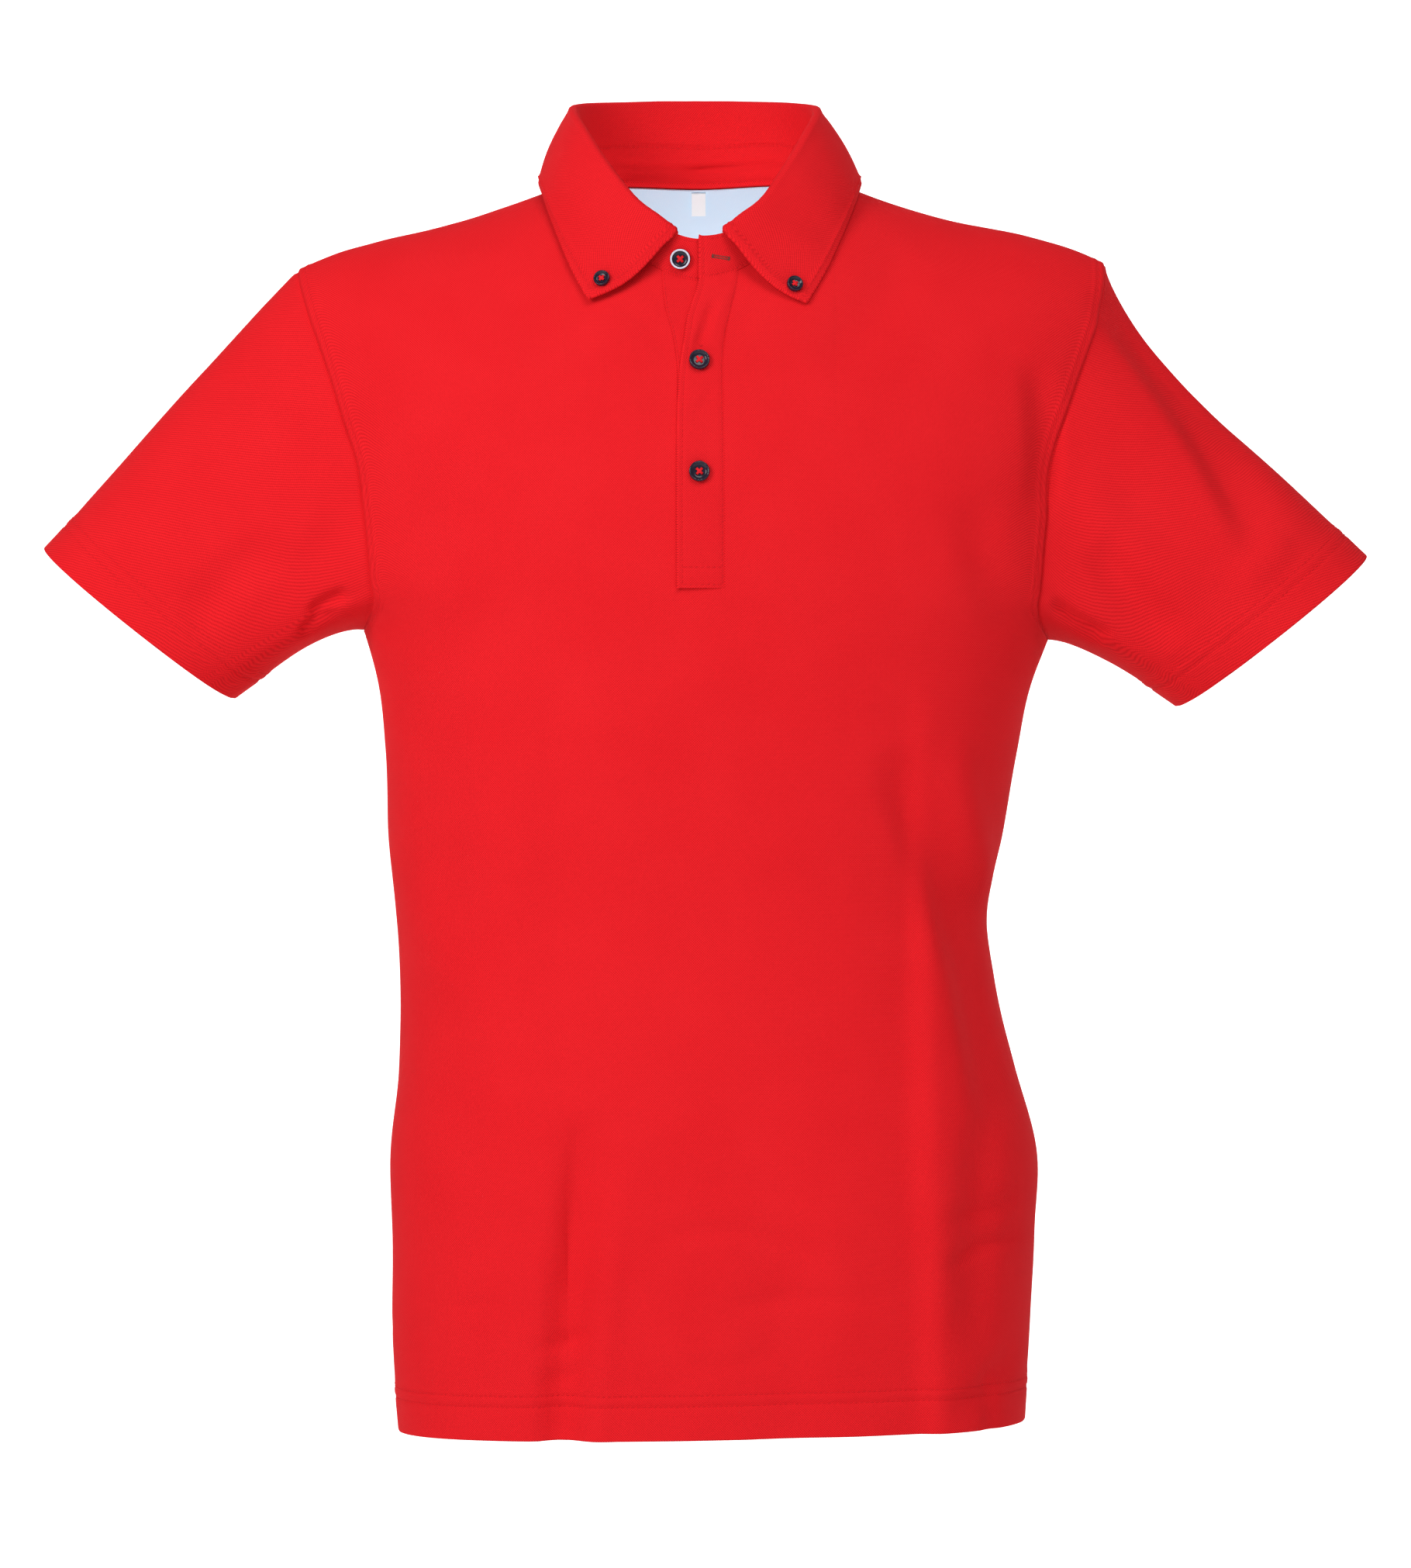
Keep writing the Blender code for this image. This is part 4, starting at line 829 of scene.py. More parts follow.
def sleeve(side, front, back):
    """A sleeve from the armhole seam to the cuff: rings that start at the underarm."""
    edge = 0 if side < 0 else -1
    first = underarm_row()
    down, up = front.grid[first:, edge][::-1], back.grid[first:, edge]
    ring, angles = [], []
    for line, start in ((up, math.pi), (down, 2 * math.pi)):
        share = travelled(line) / travelled(line)[-1]
        ring.extend(line[:-1])
        angles.extend(start + share[:-1] * math.pi)
    ring, angles = np.array(ring), np.array(angles)
    upper, lower = (np.array([x, 0.0, z]) for x, z in CUFF[side][:2])
    axis = unit(np.array([upper[2] - lower[2], 0.0, lower[0] - upper[0]])) * side
    power = 2.0 / CUFF_SQUARENESS
    tall = np.sign(np.cos(angles)) * np.abs(np.cos(angles)) ** power
    deep = np.sign(np.sin(angles)) * np.abs(np.sin(angles)) ** power
    ahead = np.array([0.0, -CUFF_DEPTH, 0.0])
    cuff = (upper + lower) / 2 + tall[:, None] * (upper - lower) / 2 + deep[:, None] * ahead
    cuff += (np.where(deep > 0, CUFF_BULGE[-1], CUFF_BULGE[1]) * np.abs(deep))[:, None] * axis
    below = np.clip(-np.cos(angles), 0.0, 1.0) ** 3
    above = np.clip(np.cos(angles), 0.0, 1.0) ** 2
    over = unit(upper - lower)
    grid = []
    for share in np.unique(np.concatenate([np.linspace(*cut) for cut in SLEEVE_CUTS])):
        rows = ring + (cuff - ring) * share
        rows[:, 2] += CUFF[side].arch * below * math.sin(math.pi * share**ARCH_PEAK)
        rows -= (CUFF[side].dip * above * math.sin(math.pi * share**DIP_PEAK))[:, None] * over
        grid.append(rows)
    name = "sleeve_left" if side < 0 else "sleeve_right"
    return Cloth(name, np.array(grid), closed=True, flip=side < 0)


def placket_grid(base_rows, seam, edge, lift, xs_top):
    """A placket's middle: from its seam in the slot to its free edge, where it has moved out by lift."""
    grid, columns = [], len(xs_top)
    top_rises, guide_rise = [neck_rise(-1, x) for x in xs_top], neck_rise(-1, SLOT_GUIDE_X)
    for kind, value in base_rows:
        if kind == "level":
            height, rises = value, [0.0] * columns
        else:
            rises = [value * rise for rise in top_rises]
            height = risen_height(-1, SLOT_GUIDE_X, value * guide_rise)
        start, end = read(SLOT, "height", seam, height), read(SLOT, "height", edge, height)
        shares = [(x - xs_top[0]) / (xs_top[-1] - xs_top[0]) for x in xs_top]
        row = []
        for share, rise in zip(shares, rises):
            x = start + (end - start) * share
            row.append(panel_point(-1, x, height if kind == "level" else risen_height(-1, x, rise), rise))
        grid.append(row)
    guide = Cloth("guide", np.array(grid), flip=xs_top[-1] < xs_top[0])
    return guide.grid + guide.normals * (np.array(shares) * lift)[None, :, None]


def plackets():
    """The placket's upper and lower layers in the front's slot."""
    levels, shares = panel_rows(-1)
    base_rows = [("level", z) for z in levels if z > SLOT_BOTTOM - 1e-6]
    base_rows += [("rise", share) for share in shares]
    seam = next(row for row in SLOT if row.height == NECK_SEAM_FRONT)
    cuts = [even(count) for count in PLACKET_CUTS]
    over_xs = refined([seam.over_seam, COLLAR_END, OVER_MIDDLE, seam.over_edge], cuts)
    under_xs = refined([seam.under_seam, -COLLAR_END, UNDER_MIDDLE, seam.under_edge], cuts)
    over = placket_grid(base_rows, "over_seam", "over_edge", PLACKET_LIFT, over_xs)
    under = placket_grid(base_rows, "under_seam", "under_edge", -PLACKET_LIFT, under_xs)
    return Cloth("placket_over", over, flip=True), Cloth("placket_under", under)


def neck_angle(point):
    """The plan angle of a point of the neck seam, from the middle of the front."""
    angle = math.asin(min(1.0, abs(point[0]) / NECK_HALF_WIDTH))
    return angle if point[1] <= 0 else math.pi - angle


def stand_top(point):
    """The neckband's top edge above a point of the neck seam."""
    face = -1 if point[1] < 0 else 1
    depth = STAND_TOP_DEPTH[face] / NECK_DEPTH[face]
    return np.array([point[0] * STAND_TOP_WIDTH / NECK_HALF_WIDTH, point[1] * depth, point[2] + STAND_HEIGHT])


def leaf_section(base, neck_point):
    """The collar's section above one station: up from the neckband, over the roll, down to the outer edge."""
    side = -1.0 if neck_point[0] < 0 else 1.0
    angle = math.degrees(neck_angle(neck_point))
    values = (read(COLLAR, "angle", name, angle) for name in Leaf._fields[1:])
    roll, edge_x, edge_y, edge_z, bow, bulge = values
    near = min(1.0, max(0.0, (POINT_HANG_END - angle) / (POINT_HANG_END - COLLAR[0].angle)))
    edge_x += POINT_HANG[side][0] * near
    edge_z += POINT_HANG[side][1] * near
    face = -1 if base[1] < 0 else 1
    out = unit([base[0] / STAND_TOP_WIDTH**2, base[1] / STAND_TOP_DEPTH[face] ** 2, 0.0])
    up = np.array([0.0, 0.0, 1.0])
    rise = max(LEAST_RISE, roll - ROLL_RADIUS - base[2])
    risen = min(1.0, rise / FULL_RISE)
    inward = -RISE_TAPER * risen * np.array([base[0], base[1], 0.0])
    turn = base + up * rise + inward - np.array([COLLAR_LEAN * risen, 0.0, 0.0])
    centre = turn + out * ROLL_RADIUS
    section = [base, base + (turn - base) / 2]
    for i in range(ROLL_STEPS + 1):
        a = math.pi * (1.0 - i / ROLL_STEPS)
        section.append(centre + out * math.cos(a) * ROLL_RADIUS + up * math.sin(a) * ROLL_RADIUS)
    start = section[-1]
    fall = np.array([side * edge_x, edge_y, edge_z]) - start
    down = unit(np.cross(fall, np.cross(out, fall))) if bow else out
    sag = unit(np.array([side * BOW_WAY[0], 0.0, BOW_WAY[1]]))
    for i in range(1, FALL_STEPS + 1):
        share = i / FALL_STEPS
        hump, bend = math.sin(math.pi * share), math.sin(math.pi * share**BOW_PEAK)
        section.append(start + fall * share + down * bulge * hump + sag * bow * bend)
    return section


def collar(front, back, over, under):
    """The neckband on the neck seam, and the leaf turned down over it."""
    top, reach = front.grid[-1], NECK_CUTS * NECK_COLUMNS
    left = top[NECK_EDGE:NECK_EDGE + reach][::-1]
    right = top[-NECK_EDGE - reach:-NECK_EDGE][::-1]
    behind = back.grid[-1][NECK_EDGE + 1:NECK_EDGE + NECK_CUTS * BACK_NECK_COLUMNS]
    neck = np.vstack([under.grid[-1][::-1], left, behind, right, over.grid[-1]])
    tops = np.array([stand_top(point) for point in neck])
    rows = [neck + (tops - neck) * share for share in np.linspace(0, 1, STAND_POINTS)]
    stand = Cloth("collar_stand", np.array(rows), flip=True)
    past = sum(PLACKET_CUTS[1:])
    sections = [leaf_section(tops[k], neck[k]) for k in range(past, len(neck) - past)]
    grid = spline_rows(np.swapaxes(np.array(sections), 0, 1), [even(count) for count in LEAF_CUTS])
    return stand, Cloth("collar_leaf", grid, flip=True, shown=-1.0)


def down_column(line, distance):
    """The point at a distance along a line of points, from its first."""
    return between(distance, travelled(line), line)


def inner_patch(panel_columns, places, shares, drop_at, inset):
    """A patch inside a panel: at each place between its columns, from its top down by the drop there."""
    grid = []
    for share in shares:
        row = []
        for place in places:
            j = min(int(place), len(panel_columns) - 2)
            pair = panel_columns[j:j + 2]
            x = pair[0][0][0] + (pair[1][0][0] - pair[0][0][0]) * (place - j)
            distance = NECK_CLEARANCE + (drop_at(x) - NECK_CLEARANCE) * share
            ends = [down_column(line, distance) for line in pair]
            row.append(ends[0] + (ends[1] - ends[0]) * (place - j))
        grid.append(row)
    guide = Cloth("guide", np.array(grid), flip=True)
    return guide.grid - guide.normals * inset


def lining_drop(x):
    """How far the half-moon reaches down at x."""
    arc = math.sqrt(max(0.0, 1.0 - (x / LINING_HALF_WIDTH) ** 2))
    return LINING_LEAST + (LINING_DROP - LINING_LEAST) * arc


def lining_and_label(back):
    """The half-moon inside the back, and the label inside the half-moon."""
    columns = [back.grid[::-1, NECK_EDGE + j] for j in range(NECK_CUTS * BACK_NECK_COLUMNS + 1)]
    rows, count = LINING_POINTS
    places = np.linspace(NECK_CUTS, NECK_CUTS * (BACK_NECK_COLUMNS - 1), count)
    inset = WALL["back_panel"] / 2 + LINING_GAP + WALL["neck_lining"] / 2
    patch = inner_patch(columns, places, np.linspace(1, 0, rows), lining_drop, inset)
    lining = Cloth("neck_lining", patch, flip=True)
    columns = [lining.grid[::-1, j] for j in range(count)]
    middle = count // 2
    spacing = columns[middle + 1][0][0] - columns[middle][0][0]
    rows, count = LABEL_POINTS
    places = [middle + (LABEL_X + LABEL_WIDTH * share) / spacing for share in np.linspace(-0.5, 0.5, count)]
    patch = inner_patch(columns, places, np.linspace(1, 0, rows), lambda x: LABEL_LENGTH, LABEL_INSET)
    return lining, Cloth("label", patch, flip=True)


def hem_relief(distance, rows):
    """The double hem: a little proud up to its stitching, with a dip along each stitch row."""
    proud = HEM_PROUD * (1 - smooth_step(rows[-1] + HEM_FADE[0], rows[-1] + HEM_FADE[1], distance))
    return proud - sum(HEM_DIP * groove(distance, row, HEM_DIP_WIDTH) for row in rows)


def sew_panel(panel):
    """Gives the front or back the relief of its armhole, side and shoulder seams and its hem."""
    edge = panel.from_ends
    armhole, side = (sum(height * groove(edge, at, width) for at, height, width in dips)
                     for dips in (ARMHOLE_DIPS, SIDE_DIPS))
    armhole += ALLOWANCE_PROUD * (smooth_step(*ALLOWANCE[0], edge) - smooth_step(*ALLOWANCE[1], edge))
    above = np.arange(panel.grid.shape[0])[:, None] - underarm_row()
    blend = smooth_step(*UNDERARM_BLEND, above)
    panel.relief += side * (1 - blend) + armhole * blend + hem_relief(panel.from_bottom, HEM_ROWS)
    for part in (slice(0, NECK_EDGE + 1), slice(-NECK_EDGE - 1, None)):
        for at, height, width in SHOULDER_DIPS[panel.name]:
            panel.relief[:, part] += height * groove(panel.from_top[:, part], at, width)


def sew(cloths):
    """Gives each piece the relief of its seams, hems and stitch rows, and marks its free edges."""
    for cloth in cloths:
        for row in RELIEF:
            if row.piece == cloth.name:
                distance = getattr(cloth, "from_" + row.edge)
                cloth.relief += row.height * groove(distance, row.at, row.width)
        for edge in FREE_EDGES[cloth.name]:
            cloth.free[EDGE_POINTS[edge]] = 1.0
        if cloth.name.endswith("panel"):
            sew_panel(cloth)
        elif cloth.name.startswith("sleeve"):
            cloth.relief += hem_relief(cloth.from_top, CUFF_ROWS)
        elif cloth.name == "collar_leaf":
            inset = np.minimum(cloth.from_ends, cloth.from_top)
            cloth.relief += LEAF_RIDGE[0] * groove(inset, LEAF_ROW, LEAF_RIDGE[1])
            cloth.relief -= LEAF_THINNING * (1 - smooth_step(0, LEAF_ROW, inset))


def cut_and_sew(uneven):
    """All cloth pieces by name, folded and sewn."""
    front, back = panels()
    join_sides(front, back)
    sleeves = [sleeve(side, front, back) for side in (-1, 1)]
    over, under = plackets()
    stand, leaf = collar(front, back, over, under)
    lining, label = lining_and_label(back)
    shell = [front, back, *sleeves, over, under, stand, leaf]
    sew(shell)
    share_seams(shell)
    for cloth in (front, back, *sleeves, lining, label):
        settle(cloth, BODY_CREASES + SLEEVE_CREASES, uneven)
    for cloth in (over, under):
        settle(cloth, BODY_CREASES + PLACKET_CREASES, uneven)
    settle(stand, STAND_CREASES, uneven * COLLAR_SHARE)
    settle(leaf, COLLAR_CREASES, uneven * COLLAR_SHARE)
    return {cloth.name: cloth for cloth in (*shell, lining, label)}


# Meshes

def cell_quads(cloth):
    """The quads of the grid as point numbers, facing out."""
    rows, columns = cloth.grid.shape[:2]
    wrap = columns if cloth.closed else columns - 1
    i, j = np.meshgrid(np.arange(rows - 1), np.arange(wrap), indexing="ij")
    keep = np.ones(i.shape, dtype=bool) if cloth.skip is None else ~cloth.skip
    i, j = i[keep], j[keep]
    k = (j + 1) % columns
    quads = np.stack([i * columns + j, i * columns + k, (i + 1) * columns + k, (i + 1) * columns + j], axis=1)
    corners = np.stack([np.stack([i, j], 1), np.stack([i, j + 1], 1), np.stack([i + 1, j + 1], 1),
                        np.stack([i + 1, j], 1)], axis=1)
    if cloth.flip:
        quads, corners = quads[:, [0, 3, 2, 1]], corners[:, [0, 3, 2, 1]]
    return quads, corners


def grain(cloth):
    """How far round and up the cloth each point lies, in metres, with one column more on a closed ring."""
    grid = cloth.grid
    if cloth.closed:
        grid = np.concatenate([grid, grid[:, :1]], axis=1)
    middle = grid.shape[1] // 2
    around = np.linalg.norm(np.diff(grid, axis=1), axis=2)
    along = np.linalg.norm(np.diff(grid, axis=0), axis=2)
    if cloth.name.endswith("panel"):
        level = underarm_row()
        rise = np.linalg.norm(np.diff(grid[:, :, 1:], axis=0), axis=2)
        along = np.where(np.arange(len(along))[:, None] < level, along[:, middle][:, None], rise)
    v = np.concatenate([np.zeros((1, grid.shape[1])), np.cumsum(along, axis=0)], axis=0)
    if cloth.name.endswith("panel"):
        around = np.sqrt(np.maximum(around**2 - np.diff(v, axis=1) ** 2, (LEAST_ROUND * around) ** 2))
    u = np.concatenate([np.zeros((grid.shape[0], 1)), np.cumsum(around, axis=1)], axis=1)
    return np.stack([u - u[:, middle][:, None], v], axis=2)


def rim_edges(quads):
    """The directed outer edges of the quads."""
    found = {}
    for quad in quads.tolist():
        for a, b in zip(quad, quad[1:] + quad[:1]):
            if found.pop((b, a), None) is None:
                found[(a, b)] = True
    return list(found)


def walled(cloth, wall):
    """A closed shell round the sheet: both skins and a rim, rounded where the edge is a fold."""
    points, normals = cloth.grid.reshape(-1, 3), cloth.normals.reshape(-1, 3)
    free = cloth.free.reshape(-1)
    quads, corners = cell_quads(cloth)
    count = len(points)
    edges = rim_edges(quads)
    outward = {}
    for a, b in edges:
        way = unit(np.cross(points[b] - points[a], normals[a] + normals[b]))
        for k in (a, b):
            outward[k] = outward.get(k, 0) + way
    rim = {}
    extra = []
    for k, way in outward.items():
        rim[k] = (k, *(2 * count + len(extra) + step for step in range(3)), k + count)
        for angle in (math.pi / 4, 0.0, -math.pi / 4):
            out = unit(way) * math.cos(angle) * free[k]
            extra.append(points[k] + (normals[k] * math.sin(angle) + out) * wall / 2)
    verts = np.vstack([points + normals * wall / 2, points - normals * wall / 2, np.array(extra)])
    faces = quads.tolist() + (quads[:, ::-1] + count).tolist()
    uv = grain(cloth)
    loops = [uv[c[:, 0], c[:, 1]] for c in (corners.reshape(-1, 2), corners[:, ::-1].reshape(-1, 2))]
    flat = uv[:, :cloth.grid.shape[1]].reshape(-1, 2)
    rim_uv = []
    for a, b in edges:
        for step in range(4):
            faces.append([rim[b][step], rim[a][step], rim[a][step + 1], rim[b][step + 1]])
            rim_uv.extend([flat[b], flat[a], flat[a], flat[b]])
    return verts, faces, np.vstack([*loops, np.array(rim_uv)])


def new_piece(name, mesh):
    """An object for a finished mesh, riding on the shirt."""
    piece = bpy.data.objects.new(name, mesh)
    bpy.context.scene.collection.objects.link(piece)
    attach(piece, "root")
    return piece


def cloth_piece(cloth, material):
    """The cloth piece as an object that stands for its solid."""
    verts, faces, uv = walled(cloth, WALL[cloth.name])
    mesh = bpy.data.meshes.new(cloth.name + "_cloth")
    mesh.from_pydata(verts.tolist(), [], faces)
    layer = mesh.uv_layers.new(name="grain")
    layer.data.foreach_set("uv", uv.astype(np.float32).ravel())
    bm = bmesh.new()
    bm.from_mesh(mesh)
    loose = [v for v in bm.verts if not v.link_faces]
    bmesh.ops.delete(bm, geom=loose, context="VERTS")
    bm.to_mesh(mesh)
    bm.free()
    mesh.materials.append(material)
    mesh.shade_smooth()
    mesh.set_sharp_from_angle(angle=math.radians(RIM_ANGLE))
    piece = new_piece(cloth.name + "_cloth", mesh)
    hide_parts(cloth.name)
    return piece


def stitch_form():
    """One stitch: a short bowed thread with rounded ends, as points and faces."""
    rings, sides = 4, 5
    points = []
    for i in range(rings):
        along = -0.5 + i / (rings - 1)
        thick = 0.55 if i in (0, rings - 1) else 1.0
        lift = 0.9 if 0 < i < rings - 1 else -0.3
        for j in range(sides):
            a = 2 * math.pi * j / sides
            points.append((along * STITCH_LENGTH, math.cos(a) * thick * THREAD_RADIUS,
                           (math.sin(a) * thick + lift) * THREAD_RADIUS))
    faces = []
    for start in range(0, (rings - 1) * sides, sides):
        for j in range(sides):
            k = (j + 1) % sides
            faces.append((start + j, start + sides + j, start + sides + k, start + k))
    faces.append(tuple(range(sides)))
    faces.append(tuple(reversed(range((rings - 1) * sides, rings * sides))))
    return np.array(points), [face[::-1] for face in faces]


def stitches_along(line, normals, step=STITCH_STEP, length=1.0, turn=0.0):
    """Where the stitches of a row lie: their middles, directions and normals."""
    reach = travelled(line)
    count = max(1, int(reach[-1] / step))
    middles = (np.arange(count) + 0.5) * reach[-1] / count
    place = [between(at, reach, line) for at in (middles, middles - step / 3, middles + step / 3)]
    up = unit(between(middles, reach, normals))
    along = unit(place[2] - place[1])
    across_way = unit(np.cross(up, along))
    turned = along * math.cos(turn) + across_way * math.sin(turn)
    across_way = across_way * math.cos(turn) - along * math.sin(turn)
    return place[0], turned * length, across_way, up


def stitch_piece(name, runs, material):
    """All stitches of the runs as one object."""
    form, form_faces = stitch_form()
    verts, faces = [], []
    for middles, along, across_way, up in runs:
        for m, a, s, u in zip(middles, along, across_way, up):
            start = len(verts) * len(form)
            verts.append(m + form[:, :1] * a + form[:, 1:2] * s + form[:, 2:] * u)
            faces.extend([[start + k for k in face] for face in form_faces])
    mesh = bpy.data.meshes.new(name)
    mesh.from_pydata(np.vstack(verts).tolist(), [], faces)
    mesh.materials.append(material)
    mesh.shade_smooth()
    piece = new_piece(name, mesh)
    return piece


def skin_line(cloth, edge, distance, rows=None, inner=False):
    """A line on the cloth at a distance from an edge, one point for each row or column, with its normals."""
    grid, normals, measure = cloth.grid, cloth.normals, getattr(cloth, "from_" + edge)
    if edge in ("bottom", "top"):
        grid, normals, measure = np.swapaxes(grid, 0, 1), np.swapaxes(normals, 0, 1), measure.T
    if edge in ("right", "top"):
        grid, normals, measure = grid[:, ::-1], normals[:, ::-1], measure[:, ::-1]
    picked = range(len(grid)) if rows is None else rows
    line = np.array([between(distance, measure[i], grid[i]) for i in picked])
    ups = unit([between(distance, measure[i], normals[i]) for i in picked]) * cloth.shown
    if inner:
        ups = -ups
    return line + ups * WALL[cloth.name] / 2, ups


def trimmed(line, ups, start, end):
    """The line without a length at its start and end."""
    reach = travelled(line)
    at = np.linspace(start, reach[-1] - end, max(3, len(line)))
    return between(at, reach, line), unit(between(at, reach, ups))


# Rows of stitches

def edge_runs(cloth, edges, distances, rows=None, trims=(0.0, 0.0), inner=False):
    """Stitch runs beside the edges of a piece, one for each distance."""
    runs = []
    for edge in edges:
        for distance in distances:
            line, ups = skin_line(cloth, edge, distance, rows, inner)
            if cloth.closed:
                line, ups = np.vstack([line, line[:1]]), np.vstack([ups, ups[:1]])
            runs.append(stitches_along(*trimmed(line, ups, *trims)))
    return runs


def panel_runs(cloth):
    """The twin rows of the hem and the row beside each armhole."""
    rows = range(underarm_row() + 1, cloth.grid.shape[0])
    sides = edge_runs(cloth, ("left", "right"), [ARMHOLE_ROW], rows=rows, trims=(0.0, ARMHOLE_TRIM))
    return edge_runs(cloth, ["bottom"], HEM_ROWS) + sides


def sleeve_runs(cloth):
    """The twin rows of a sleeve's hem."""
    return edge_runs(cloth, ["top"], CUFF_ROWS)


def placket_runs(cloth):
    """The rows down a placket's free edge and seam, and the box across its foot."""
    runs = []
    for edge, distance in (("right", PLACKET_ROW), ("left", PLACKET_SEAM_ROW)):
        runs += edge_runs(cloth, [edge], [distance], trims=(PLACKET_ROW, PLACKET_TRIM))
    across_foot = (PLACKET_SEAM_ROW, PLACKET_ROW)
    return runs + edge_runs(cloth, ["bottom"], (PLACKET_ROW, PLACKET_BOX), trims=across_foot)


def leaf_runs(cloth):
    """The row round the collar's front edges and outer edge."""
    rows = range(ROLL_START, cloth.grid.shape[0])
    sides = edge_runs(cloth, ("left", "right"), [LEAF_ROW], rows=rows, trims=(0.0, LEAF_ROW))
    return sides + edge_runs(cloth, ["top"], [LEAF_ROW], trims=(LEAF_ROW, LEAF_ROW))


def stand_runs(cloth):
    """The rows round the neckband, outside and inside."""
    trims = (STAND_ROW, STAND_ROW)
    runs = []
    for edge in ("bottom", "top"):
        for inner in (False, True):
            runs += edge_runs(cloth, [edge], [STAND_ROW], trims=trims, inner=inner)
    return runs + edge_runs(cloth, ("left", "right"), [STAND_ROW], trims=trims)


def lining_runs(cloth):
    """The row along the half-moon's round edge."""
    return edge_runs(cloth, ["bottom"], [LINING_ROW], inner=True)


def nearest(cloth, x, z):
    """The front skin's point and normal nearest to a place in the front view."""
    out = cloth.normals * cloth.shown
    away = np.hypot(cloth.grid[..., 0] - x, cloth.grid[..., 2] - z) + np.where(cloth.grid[..., 1] < 0, 0, 1)
    i, j = np.unravel_index(np.argmin(away), away.shape)
    return cloth.grid[i, j] + out[i, j] * WALL[cloth.name] / 2, out[i, j]


def buttonhole_runs(cloth, start, end):
    """The close stitches round a buttonhole's slit, and a bar across each of its ends."""
    points = [nearest(cloth, x, z) for x, z in np.linspace(start, end, HOLE_POINTS)]
    line, ups = np.array([p for p, _ in points]), np.array([n for _, n in points])
    axis = unit(line[-1] - line[0])
    ups = np.tile(unit(ups.mean(axis=0)), (HOLE_POINTS, 1))
    line = line[0] + np.linspace(0, 1, HOLE_POINTS)[:, None] * (line[-1] - line[0])
    across_way = unit(np.cross(ups[0], axis))
    runs = []
    for side in (-1, 1):
        runs.append(stitches_along(line + across_way * side * HOLE_LIP, ups, step=HOLE_STEP,
                                   length=HOLE_LIP * HOLE_STITCH / STITCH_LENGTH, turn=math.pi / 2))
    for tip, way in ((line[0], -axis), (line[-1], axis)):
        bar = np.array([tip + way * BAR_STEP * k for k in range(3)])
        runs.append(stitches_along(bar, ups[:3], step=BAR_STEP, length=HOLE_LIP * BAR_STITCH / STITCH_LENGTH,
                                   turn=math.pi / 2))
    return runs


# Buttons

def button_place(node):
    """The centre, facing and thickness of a packed button."""
    if node not in BUTTON_PLACES:
        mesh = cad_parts[node].data
        points = np.array([vertex.co[:] for vertex in mesh.vertices])
        centre = (points.max(axis=0) + points.min(axis=0)) / 2
        facing = np.linalg.svd(points - points.mean(axis=0), full_matrices=False)[2][2]
        facing = -facing if facing[1] > 0 else facing
        heights = (points - centre) @ facing
        centre = centre + facing * (heights.max() + heights.min()) / 2
        BUTTON_PLACES[node] = (centre, facing, heights.max() - heights.min())
    return BUTTON_PLACES[node]


BUTTON_PLACES = {}


def pick_faces(obj, test):
    """Selects in edit mode the faces whose middle passes the test."""
    bpy.ops.mesh.select_all(action="DESELECT")
    bpy.ops.object.mode_set(mode="OBJECT")
    for face in obj.data.polygons:
        face.select = test(face)
    bpy.ops.object.mode_set(mode="EDIT")


def inset_and_move(inset, rise):
    """Insets the selected faces and moves them up, in edit mode."""
    bpy.ops.mesh.inset(thickness=inset, depth=0.0)
    bpy.ops.transform.translate(value=(0, 0, rise))


def joined(objects):
    """The objects joined into the first of them."""
    for obj in objects:
        obj.select_set(True)
    bpy.context.view_layer.objects.active = objects[0]
    bpy.ops.object.join()
    return objects[0]


def turned_button(name, diameter, thickness):
    """A dished button with a raised rim and four holes, lying flat at the origin."""
    radius = diameter / 2
    bpy.ops.object.select_all(action="DESELECT")
    bpy.ops.mesh.primitive_cylinder_add(vertices=64, radius=radius, depth=thickness,
                                        location=(0, 0, thickness / 2))
    button = bpy.context.object
    button.name = name
    bpy.ops.object.mode_set(mode="EDIT")
    bpy.ops.mesh.select_mode(type="FACE")
    pick_faces(button, lambda face: face.normal.z > 0.9)
    for share, drop in DISH_STEPS:
        inset_and_move(share * radius, drop * thickness)
    pick_faces(button, lambda face: face.normal.z < -0.9 and face.center.z < thickness * 0.05)
    inset_and_move(BACK_STEP[0] * radius, BACK_STEP[1] * thickness)
    bpy.ops.object.mode_set(mode="OBJECT")
    bpy.ops.object.select_all(action="DESELECT")
    button.select_set(True)
    bevel = button.modifiers.new("Rounded rim", "BEVEL")
    bevel.width, bevel.segments = thickness * RIM_ROUNDING, 4
    bevel.limit_method, bevel.angle_limit = "ANGLE", 0.6
    spacing = radius * HOLE_SPACING
    cutters = []
    for x in (-spacing, spacing):
        for y in (-spacing, spacing):
            bpy.ops.mesh.primitive_cylinder_add(vertices=16, radius=radius * HOLE_RADIUS, depth=thickness * 4,
                                                location=(x, y, 0))
            cutters.append(bpy.context.object)
    cutter = joined(cutters)
    cut = button.modifiers.new("Thread holes", "BOOLEAN")
    cut.operation, cut.solver, cut.object = "DIFFERENCE", "EXACT", cutter
    bpy.context.view_layer.objects.active = button
    for modifier in list(button.modifiers):
        bpy.ops.object.modifier_apply(modifier=modifier.name)
    bpy.data.objects.remove(cutter, do_unlink=True)
    button.data.shade_smooth()
    button.data.set_sharp_from_angle(angle=math.radians(BUTTON_SHARP_ANGLE))
    return button


